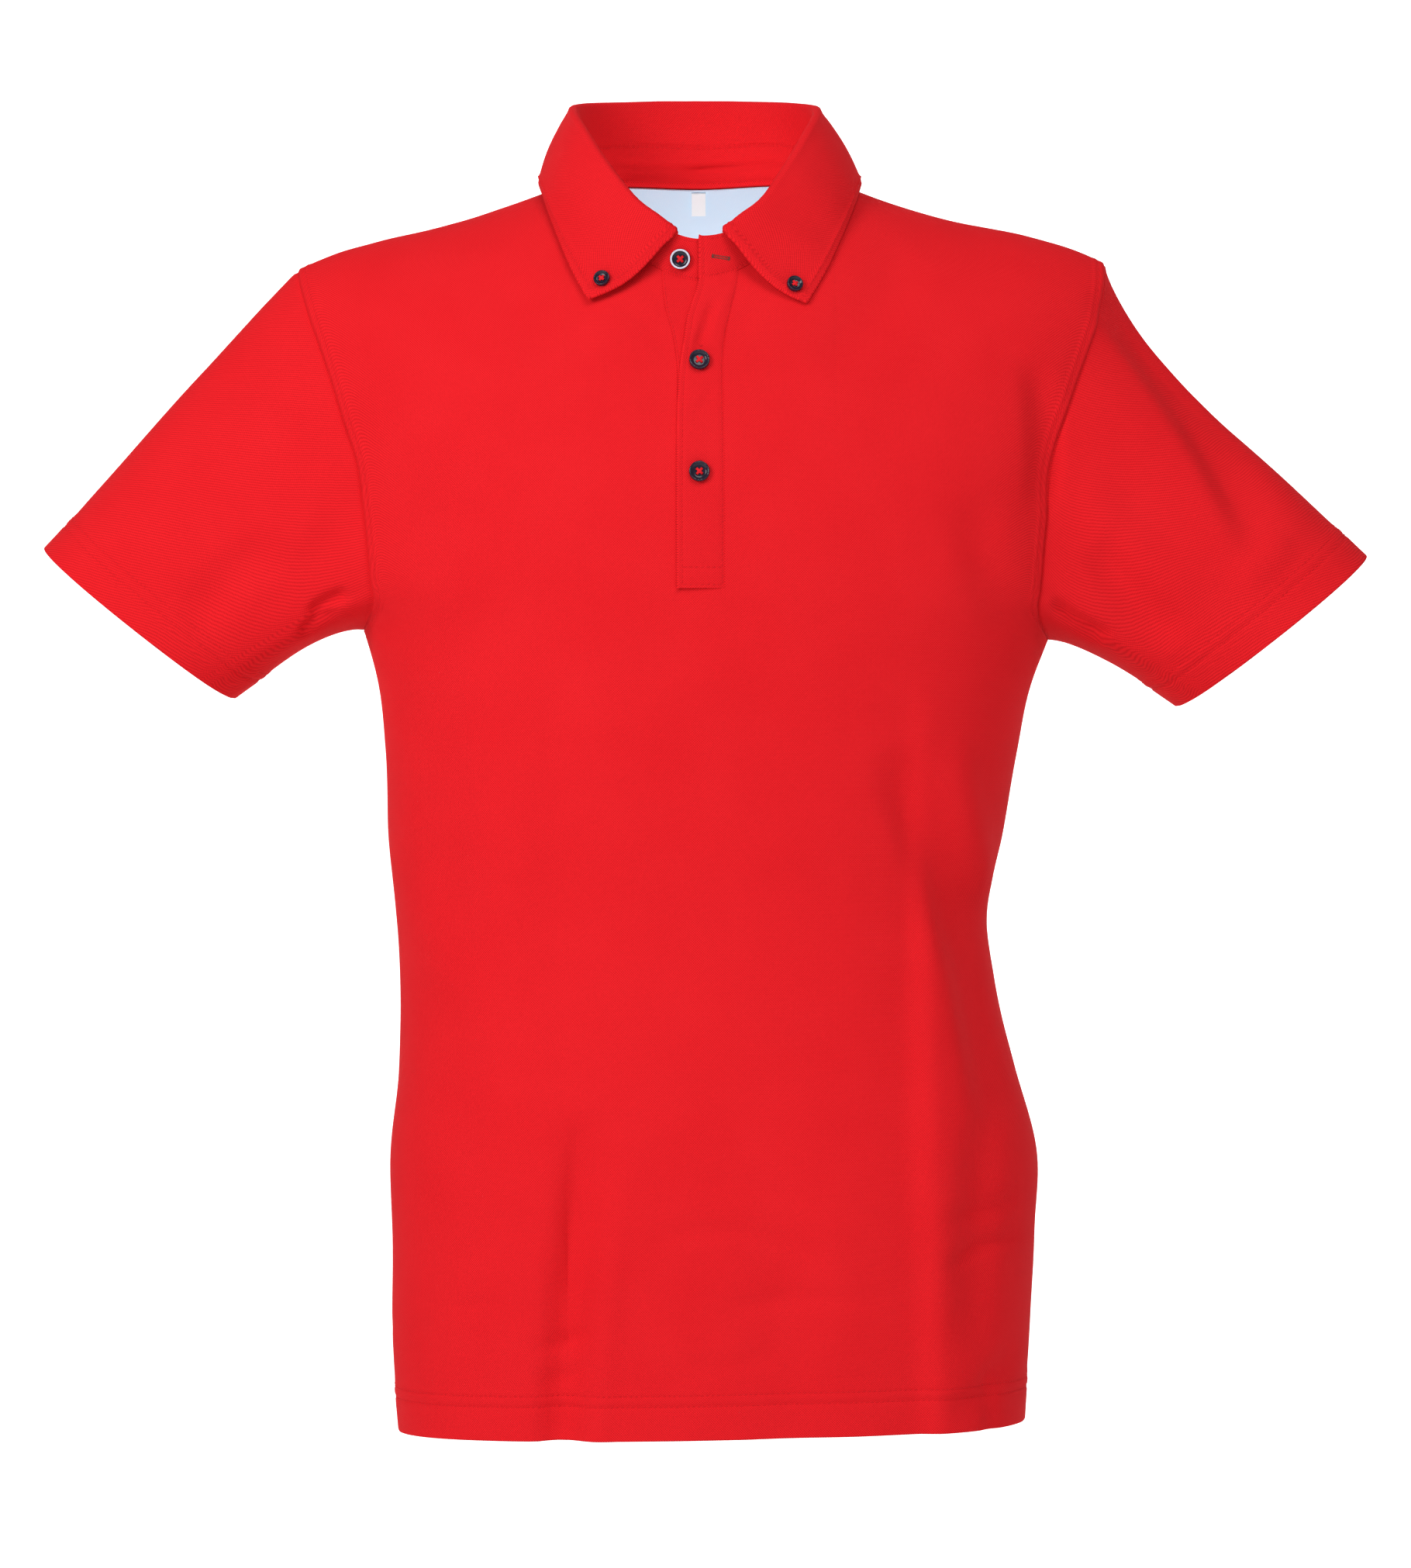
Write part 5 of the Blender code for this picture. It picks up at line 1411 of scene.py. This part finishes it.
def button_threads(name, diameter, thickness):
    """The thread crossed over a button's holes, and its shank behind, lying flat at the origin."""
    radius = diameter / 2
    reach = radius * HOLE_SPACING * math.sqrt(2)
    bpy.ops.object.select_all(action="DESELECT")
    strands = []
    for turn in (math.pi / 4, 3 * math.pi / 4):
        for aside in (-STRAND_STEP, 0, STRAND_STEP):
            bpy.ops.mesh.primitive_cylinder_add(
                vertices=8, radius=THREAD_RADIUS * 1.5, depth=reach * 2.3, end_fill_type="TRIFAN",
                location=(-math.sin(turn) * aside, math.cos(turn) * aside,
                          thickness * (THREAD_HEIGHT + THREAD_OVERLAP * (turn > math.pi / 2))),
                rotation=(math.pi / 2, 0, turn + math.pi / 2))
            strands.append(bpy.context.object)
    bpy.ops.mesh.primitive_cylinder_add(vertices=16, radius=radius * SHANK_RADIUS, depth=thickness * 0.9,
                                        location=(0, 0, -thickness * 0.20))
    strands.append(bpy.context.object)
    thread = joined(strands)
    bpy.ops.object.transform_apply(location=True, rotation=True, scale=True)
    thread.name = name
    thread.data.shade_smooth()
    return thread


def set_on(obj, node, turn):
    """Moves a flat piece's mesh onto a packed button's place, turned about its middle."""
    centre, facing, thickness = button_place(node)
    obj.data.transform(obj.matrix_world)
    obj.matrix_world = Matrix.Identity(4)
    aim = Vector((0, 0, 1)).rotation_difference(Vector(facing)).to_matrix().to_4x4()
    seat = Vector(centre) - Vector(facing) * thickness / 2
    obj.data.transform(Matrix.Translation(seat) @ aim @ Matrix.Rotation(turn, 4, "Z"))
    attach(obj, "root")


# Materials

def group(name, inputs, outputs):
    """An empty node group with its sockets, ready for nodes."""
    tree = bpy.data.node_groups.new(name, "ShaderNodeTree")
    for socket, kind, default in inputs:
        tree.interface.new_socket(name=socket, in_out="INPUT", socket_type=kind).default_value = default
    for socket, kind in outputs:
        tree.interface.new_socket(name=socket, in_out="OUTPUT", socket_type=kind)
    return tree, tree.nodes.new("NodeGroupInput"), tree.nodes.new("NodeGroupOutput")


def join(tree, value, socket):
    """Links a value that is a socket, and otherwise sets it."""
    if isinstance(value, bpy.types.NodeSocket):
        tree.links.new(value, socket)
    else:
        socket.default_value = value


def add_node(tree, kind, **values):
    """A node with its inputs linked or set by name, an underscore standing for a space."""
    node = tree.nodes.new("ShaderNode" + kind)
    for name, value in values.items():
        join(tree, value, node.inputs[name.replace("_", " ")])
    return node


def math_node(tree, operation, *values):
    """The result of a math node with its inputs linked or set."""
    node = tree.nodes.new("ShaderNodeMath")
    node.operation = operation
    for value, socket in zip(values, node.inputs):
        join(tree, value, socket)
    return node.outputs[0]


def noise_of(tree, vector, **values):
    """The value of a noise on a vector."""
    return add_node(tree, "TexNoise", Vector=vector, **values).outputs["Fac"]


def object_place(tree):
    """The place on the object."""
    return tree.nodes.new("ShaderNodeTexCoord").outputs["Object"]


def grain_place(tree):
    """The place on the cloth, in metres round and up it."""
    coords = tree.nodes.new("ShaderNodeUVMap")
    coords.uv_map = "grain"
    return coords.outputs["UV"]


def give_relief(tree, shader, height, strength, distance):
    """Gives the shader a fine relief from a height."""
    bump = add_node(tree, "Bump", Strength=strength, Distance=distance, Height=height)
    tree.links.new(bump.outputs["Normal"], shader.inputs["Normal"])


def knit_group():
    """Pique knit: rows of small round dimples between raised loops, with a little unevenness, and how low
    each place lies, for the shade painted into the dimples.
    """
    tree, start, end = group("Pique knit", [("Scale", "NodeSocketFloat", 1.0)],
                             [("Height", "NodeSocketFloat"), ("Pit", "NodeSocketFloat")])
    place = grain_place(tree)
    wobble = noise_of(tree, place, Scale=160.0, Detail=2.0)
    offset = math_node(tree, "MULTIPLY", math_node(tree, "SUBTRACT", wobble, 0.5), 1.6)
    rate = math_node(tree, "MULTIPLY", start.outputs["Scale"], 2 * math.pi / KNIT_PITCH)
    parts = add_node(tree, "SeparateXYZ", Vector=place)
    waves = [math_node(tree, "COSINE", math_node(tree, "MULTIPLY_ADD", parts.outputs[axis], rate, offset))
             for axis in "XY"]
    height = math_node(tree, "MULTIPLY_ADD", math_node(tree, "MULTIPLY", *waves), 0.5, 0.5)
    tree.links.new(height, end.inputs["Height"])
    # Painted shade: strongest where the knit lies lowest, in its dimples
    pit_shade = math_node(tree, "POWER", math_node(tree, "SUBTRACT", 1.0, height), 2.2)
    tree.links.new(pit_shade, end.inputs["Pit"])
    return tree


def colour_mix(tree, factor, first, second):
    """The result of a colour mix node with its inputs linked or set."""
    node = tree.nodes.new("ShaderNodeMix")
    node.data_type = "RGBA"
    sockets = {socket.identifier: socket for socket in node.inputs}
    for key, value in (("Factor_Float", factor), ("A_Color", first), ("B_Color", second)):
        join(tree, value, sockets[key])
    return next(socket for socket in node.outputs if socket.identifier == "Result_Color")


def new_material(name, roughness, **constants):
    """A Principled material with its constant sockets set; returns it with its tree and shader."""
    material = bpy.data.materials.new(name)
    material.use_nodes = True
    shader = material.node_tree.nodes["Principled BSDF"]
    shader.inputs["Roughness"].default_value = roughness
    for socket, value in constants.items():
        shader.inputs[socket.replace("_", " ")].default_value = value
    return material, material.node_tree, shader


def darker(colour, share):
    """The colour at a share of its brightness."""
    return tuple(c * share for c in colour[:3]) + (1.0,)


def pique_material(name, colour, knit):
    """Red cotton pique: matt, with soft sheen, and shade painted into its dimples."""
    material, tree, shader = new_material(name, 0.90, Sheen_Weight=0.03, Sheen_Roughness=0.5,
                                          Sheen_Tint=(1.0, 0.22, 0.20, 1.0), Specular_IOR_Level=0.05)
    knitted = tree.nodes.new("ShaderNodeGroup")
    knitted.node_tree = knit
    mottle = noise_of(tree, object_place(tree), Scale=24.0, Detail=5.0)
    worn = tuple(min(1.0, c * 1.10 + 0.004) for c in colour[:3]) + (1.0,)
    base = colour_mix(tree, mottle, colour, worn)
    # Painted shade in the dimples: their red darkened towards a third of its brightness
    painted_pit_shade = math_node(tree, "MULTIPLY", knitted.outputs["Pit"], 0.66)
    tree.links.new(colour_mix(tree, painted_pit_shade, base, darker(colour, 0.34)), shader.inputs["Base Color"])
    give_relief(tree, shader, knitted.outputs["Height"], strength=0.55, distance=0.00035)
    return material


def thread_material(name, colour):
    """Twisted sewing thread, a little glossier than the cloth."""
    material, tree, shader = new_material(name, 0.70, Specular_IOR_Level=0.10)
    twist = noise_of(tree, object_place(tree), Scale=2600.0)
    tree.links.new(colour_mix(tree, twist, darker(colour, 0.7), colour), shader.inputs["Base Color"])
    give_relief(tree, shader, twist, strength=0.3, distance=0.0001)
    return material


def woven_material(name, colour, pale, pitch, strength):
    """Plain weave: warp in one colour and weft in a paler one, over and under by turns."""
    material, tree, shader = new_material(name, 0.8, Sheen_Weight=0.12, Specular_IOR_Level=0.2)
    place = grain_place(tree)
    parts = add_node(tree, "SeparateXYZ", Vector=place)
    threads = [math_node(tree, "SINE", math_node(tree, "MULTIPLY", parts.outputs[axis], math.pi / pitch))
               for axis in "XY"]
    over = math_node(tree, "MULTIPLY", *threads)
    warp = math_node(tree, "MULTIPLY_ADD", over, 0.5, 0.5)
    tree.links.new(colour_mix(tree, warp, colour, pale), shader.inputs["Base Color"])
    slub = noise_of(tree, place, Scale=900.0)
    give_relief(tree, shader, math_node(tree, "ADD", math_node(tree, "ABSOLUTE", over), slub), strength,
                distance=0.0002)
    return material


def resin_material(name, colour, cloud):
    """Polished resin with a faint cloud in it."""
    material, tree, shader = new_material(name, 0.20, Coat_Weight=0.12, Coat_Roughness=0.06,
                                          Specular_IOR_Level=0.28)
    swirl = noise_of(tree, object_place(tree), Scale=260.0, Distortion=1.5)
    tree.links.new(colour_mix(tree, swirl, colour, cloud), shader.inputs["Base Color"])
    return material


def floor_material(colour):
    """The pale floor and backdrop, bright behind the shirt and plain under it."""
    material, tree, shader = new_material("Pale_backdrop", 0.9, Specular_IOR_Level=0.1,
                                          Emission_Color=(1.0, 1.0, 1.0, 1.0))
    place = object_place(tree)
    parts = add_node(tree, "SeparateXYZ", Vector=place)
    ramp = add_node(tree, "MapRange", Value=parts.outputs["Y"], From_Min=GLOW_REACH[0],
                    From_Max=GLOW_REACH[1], To_Min=GLOW[0], To_Max=GLOW[1])
    ramp.interpolation_type = "SMOOTHSTEP"
    tree.links.new(ramp.outputs["Result"], shader.inputs["Emission Strength"])
    mottle = noise_of(tree, place, Scale=3.0)
    tree.links.new(colour_mix(tree, mottle, colour, darker(colour, 0.99)), shader.inputs["Base Color"])
    return material


# Sizes and colours that a user would change

class ShirtLook(bpy.types.PropertyGroup):
    """The colours of the shirt's materials and the strength of its folds."""

    red: FloatVectorProperty(name="Cloth", description="Colour of the pique", subtype="COLOR", size=4,
                             default=(0.776, 0.0116, 0.0176, 1.0), min=0.0, max=1.0)
    thread: FloatVectorProperty(name="Thread", description="Colour of the sewing thread", subtype="COLOR",
                                size=4, default=(0.82, 0.016, 0.024, 1.0), min=0.0, max=1.0)
    lining: FloatVectorProperty(name="Lining", description="Colour of the neck lining", subtype="COLOR",
                                size=4, default=(0.38, 0.72, 1.0, 1.0), min=0.0, max=1.0)
    button: FloatVectorProperty(name="Buttons", description="Colour of the buttons", subtype="COLOR", size=4,
                                default=(0.006, 0.006, 0.012, 1.0), min=0.0, max=1.0)
    unevenness: FloatProperty(name="Unevenness", description="How far the hung cloth wanders in and out",
                              default=0.0010, min=0.0, max=0.004, unit="LENGTH", precision=4)


class StudioLook(bpy.types.PropertyGroup):
    """The camera and the light."""

    distance: FloatProperty(name="Distance", description="Camera's distance from the shirt", default=4.0,
                            min=1.0, max=10.0, unit="LENGTH")
    height: FloatProperty(name="Height", description="Camera's height", default=-0.34, unit="LENGTH")
    sky: FloatProperty(name="Sky", description="Strength of the even light all round", default=0.245, min=0.0,
                       max=3.0, subtype="FACTOR")
    key: FloatProperty(name="Key light", description="Power of the large soft light", default=72.0, min=0.0,
                       max=1000.0, unit="POWER")
    neck: FloatProperty(name="Neck light", description="Power of the small light inside the neck",
                        default=0.175, min=0.0, max=5.0, unit="POWER")


CLOTHS = {}
MATERIALS = {}


def material_of(key):
    """The shirt's materials, made once."""
    if not MATERIALS:
        look = bpy.context.scene.shirt_look
        MATERIALS["pique"] = pique_material("Red_pique", tuple(look.red), knit_group())
        MATERIALS["thread"] = thread_material("Red_thread", tuple(look.thread))
        MATERIALS["hole"] = thread_material("Buttonhole_thread", (0.10, 0.075, 0.06, 1.0))
        MATERIALS["lining"] = woven_material("Blue_chambray", tuple(look.lining), (0.76, 0.93, 1.0, 1.0),
                                             0.00042, 0.4)
        MATERIALS["tape"] = woven_material("White_tape", (0.76, 0.93, 0.98, 1.0), (0.86, 0.99, 1.0, 1.0),
                                           0.00035, 0.5)
        MATERIALS["resin"] = resin_material("Navy_resin", tuple(look.button), (0.018, 0.014, 0.034, 1.0))
        # The pale ring on the neckband button: a painted highlight
        MATERIALS["rim"] = resin_material("Pale_rim", (0.50, 0.47, 0.60, 1.0), (0.72, 0.70, 0.80, 1.0))
    return MATERIALS[key]


def cloth_of(name):
    """The folded and sewn cloth, worked out once."""
    if not CLOTHS:
        CLOTHS.update(cut_and_sew(bpy.context.scene.shirt_look.unevenness))
    return CLOTHS[name]


def sewn_piece(name, runs_of, material="pique"):
    """A cloth piece and the piece that holds its stitches."""
    piece = cloth_piece(cloth_of(name), material_of(material))
    return piece, stitch_piece(name + "_stitches", runs_of(cloth_of(name)), material_of("thread"))


class MakeBody(bpy.types.Operator):
    """Make the front and the back with their hem and armhole stitching"""
    bl_idname = "shirt.make_body"
    bl_label = "Make the front and back"

    def execute(self, context):
        for name, flat, area in (("front_panel", (0.555, 0.760), 0.318),
                                 ("back_panel", (0.555, 0.780), 0.336)):
            panel, sewing = sewn_piece(name, panel_runs)
        return {"FINISHED"}


class MakeSleeves(bpy.types.Operator):
    """Make both sleeves with the twin rows of their hems"""
    bl_idname = "shirt.make_sleeves"
    bl_label = "Make the sleeves"

    def execute(self, context):
        for name in ("sleeve_left", "sleeve_right"):
            piece, sewing = sewn_piece(name, sleeve_runs)
        return {"FINISHED"}


class MakePlacket(bpy.types.Operator):
    """Make the placket's two layers with their stitching and buttonholes"""
    bl_idname = "shirt.make_placket"
    bl_label = "Make the placket"

    def execute(self, context):
        for name, area in (("placket_over", 0.00425), ("placket_under", 0.0042)):
            piece, *sewing = sewn_piece(name, placket_runs)
            if name == "placket_over":
                runs = []
                for node in ("button_placket_1", "button_placket_2"):
                    x, _, z = button_place(node)[0]
                    runs += buttonhole_runs(cloth_of(name), (x, z - HOLE_REACH), (x, z + HOLE_REACH))
                sewing.append(stitch_piece("placket_buttonholes", runs, material_of("thread")))
        return {"FINISHED"}


class MakeCollar(bpy.types.Operator):
    """Make the neckband and the turned-down collar with their stitching"""
    bl_idname = "shirt.make_collar"
    bl_label = "Make the collar"

    def execute(self, context):
        piece, *sewing = sewn_piece("collar_stand", stand_runs)
        runs = buttonhole_runs(cloth_of("collar_stand"), *STAND_HOLE)
        sewing.append(stitch_piece("collar_stand_buttonhole", runs, material_of("hole")))
        piece, *sewing = sewn_piece("collar_leaf", leaf_runs)
        runs = []
        for node in ("button_collar_left", "button_collar_right"):
            x, _, z = button_place(node)[0]
            aside, up = math.copysign(LEAF_HOLE[0], x), LEAF_HOLE[1]
            runs += buttonhole_runs(cloth_of("collar_leaf"), (x - aside, z + up), (x + aside, z - up))
        sewing.append(stitch_piece("collar_leaf_buttonholes", runs, material_of("thread")))
        return {"FINISHED"}


class MakeLining(bpy.types.Operator):
    """Make the half-moon lining and the bare label inside the back of the neck"""
    bl_idname = "shirt.make_lining"
    bl_label = "Make the lining and label"

    def execute(self, context):
        piece, sewing = sewn_piece("neck_lining", lining_runs, "lining")
        tape = cloth_piece(cloth_of("label"), material_of("tape"))
        return {"FINISHED"}


class MakeButtons(bpy.types.Operator):
    """Make the five buttons with their crossed thread"""
    bl_idname = "shirt.make_buttons"
    bl_label = "Make the buttons"

    def execute(self, context):
        for k, (node, diameter) in enumerate(BUTTONS.items()):
            thickness = button_place(node)[2]
            button = turned_button(node + "_turned", diameter, thickness)
            thread = button_threads(node + "_thread", diameter, thickness)
            for piece, slot, material in ((button, "navy_resin", "resin"), (thread, "red_thread", "thread")):
                set_on(piece, node, BUTTON_TURN * (k % 3 - 1))
                piece.data.materials.clear()
                piece.data.materials.append(material_of(material))
            if node == "button_stand":
                # The neckband button's outer band takes the pale colour, a painted highlight
                button.data.materials.append(material_of("rim"))
                centre, facing, _ = button_place(node)
                for face in button.data.polygons:
                    away = np.array(face.center) - centre
                    out = np.linalg.norm(away - facing * (away @ facing))
                    face.material_index = int(PAINTED_HIGHLIGHT_BAND[0] < out / (diameter / 2) < PAINTED_HIGHLIGHT_BAND[1])
            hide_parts(node)
        return {"FINISHED"}


class MakeStudio(bpy.types.Operator):
    """Make the pale backdrop, the soft lights and the camera"""
    bl_idname = "shirt.make_studio"
    bl_label = "Make the studio"

    def execute(self, context):
        studio = context.scene.studio_look
        bpy.ops.object.select_all(action="DESELECT")
        middle = (0, FLOOR_MIDDLE_Y, CAD_BOX[0][2] - FLOOR_DROP)
        bpy.ops.mesh.primitive_plane_add(size=FLOOR_SIZE, location=middle)
        floor = context.object
        floor.name = "floor"
        bpy.ops.object.mode_set(mode="EDIT")
        bpy.ops.mesh.select_mode(type="EDGE")
        bpy.ops.mesh.select_all(action="DESELECT")
        bpy.ops.object.mode_set(mode="OBJECT")
        for edge in floor.data.edges:
            edge.select = all(floor.data.vertices[k].co.y > FLOOR_SIZE * 0.49 for k in edge.vertices)
        bpy.ops.object.mode_set(mode="EDIT")
        bpy.ops.mesh.extrude_region_move(TRANSFORM_OT_translate={"value": (0, 0, BACKDROP_HEIGHT)})
        bpy.ops.object.mode_set(mode="OBJECT")
        sweep = floor.modifiers.new("Sweep", "BEVEL")
        sweep.width, sweep.segments, sweep.limit_method = SWEEP_RADIUS, SWEEP_CUTS, "ANGLE"
        bpy.ops.object.modifier_apply(modifier=sweep.name)
        floor.data.shade_smooth()
        floor.data.materials.append(floor_material((0.95, 0.95, 0.95, 1.0)))
        world = bpy.data.worlds.new("Studio")
        world.use_nodes = True
        sky = world.node_tree.nodes["Background"]
        sky.inputs["Color"].default_value = (1.0, 1.0, 1.0, 1.0)
        sky.inputs["Strength"].default_value = studio.sky
        context.scene.world = world
        for name, place, power, size in LIGHTS:
            soft_light(name, place, LIGHT_AIM, power * studio.key, size)
        soft_light("neck_light", NECK_LIGHT, NECK_AIM, studio.neck, NECK_LIGHT_SIZE)
        bpy.ops.object.camera_add(location=(CAMERA_X, -studio.distance, studio.height),
                                  rotation=(math.pi / 2, 0, 0))
        camera = context.object
        camera.data.lens = SENSOR_WIDTH * studio.distance / FRAME_HEIGHT
        camera.data.sensor_width = SENSOR_WIDTH
        camera.data.clip_end = 50.0
        context.scene.camera = camera
        context.scene.view_settings.view_transform = "Standard"
        return {"FINISHED"}


def soft_light(name, place, target, power, size):
    """An area light at a place, turned to a target."""
    bpy.ops.object.light_add(type="AREA", location=place)
    light = bpy.context.object
    light.name = name
    light.data.energy, light.data.size = power, size
    light.rotation_euler = (Vector(target) - Vector(place)).to_track_quat("-Z", "Y").to_euler()


class ShirtPanel(bpy.types.Panel):
    """Lists the steps that make the shirt"""
    bl_idname = "VIEW3D_PT_polo_shirt"
    bl_label = "Polo Shirt"
    bl_space_type = "VIEW_3D"
    bl_region_type = "UI"
    bl_category = "Polo Shirt"

    def draw(self, context):
        for group_name, names in (("shirt_look", ("red", "thread", "lining", "button", "unevenness")),
                                  ("studio_look", ("distance", "height", "sky", "key", "neck"))):
            for name in names:
                self.layout.prop(getattr(context.scene, group_name), name)
        for step in STEPS:
            self.layout.operator(step.bl_idname)


STEPS = (MakeBody, MakeSleeves, MakePlacket, MakeCollar, MakeLining, MakeButtons, MakeStudio)
CLASSES = (ShirtLook, StudioLook, *STEPS, ShirtPanel)


def register():
    for cls in CLASSES:
        bpy.utils.register_class(cls)
    bpy.types.Scene.shirt_look = PointerProperty(type=ShirtLook)
    bpy.types.Scene.studio_look = PointerProperty(type=StudioLook)


def unregister():
    del bpy.types.Scene.studio_look
    del bpy.types.Scene.shirt_look
    for cls in reversed(CLASSES):
        bpy.utils.unregister_class(cls)


def main():
    register()
    bpy.ops.object.select_all(action="DESELECT")
    bpy.ops.shirt.make_body()
    bpy.ops.shirt.make_sleeves()
    bpy.ops.shirt.make_placket()
    bpy.ops.shirt.make_collar()
    bpy.ops.shirt.make_lining()
    bpy.ops.shirt.make_buttons()
    bpy.ops.shirt.make_studio()


if __name__ == "__main__":
    main()
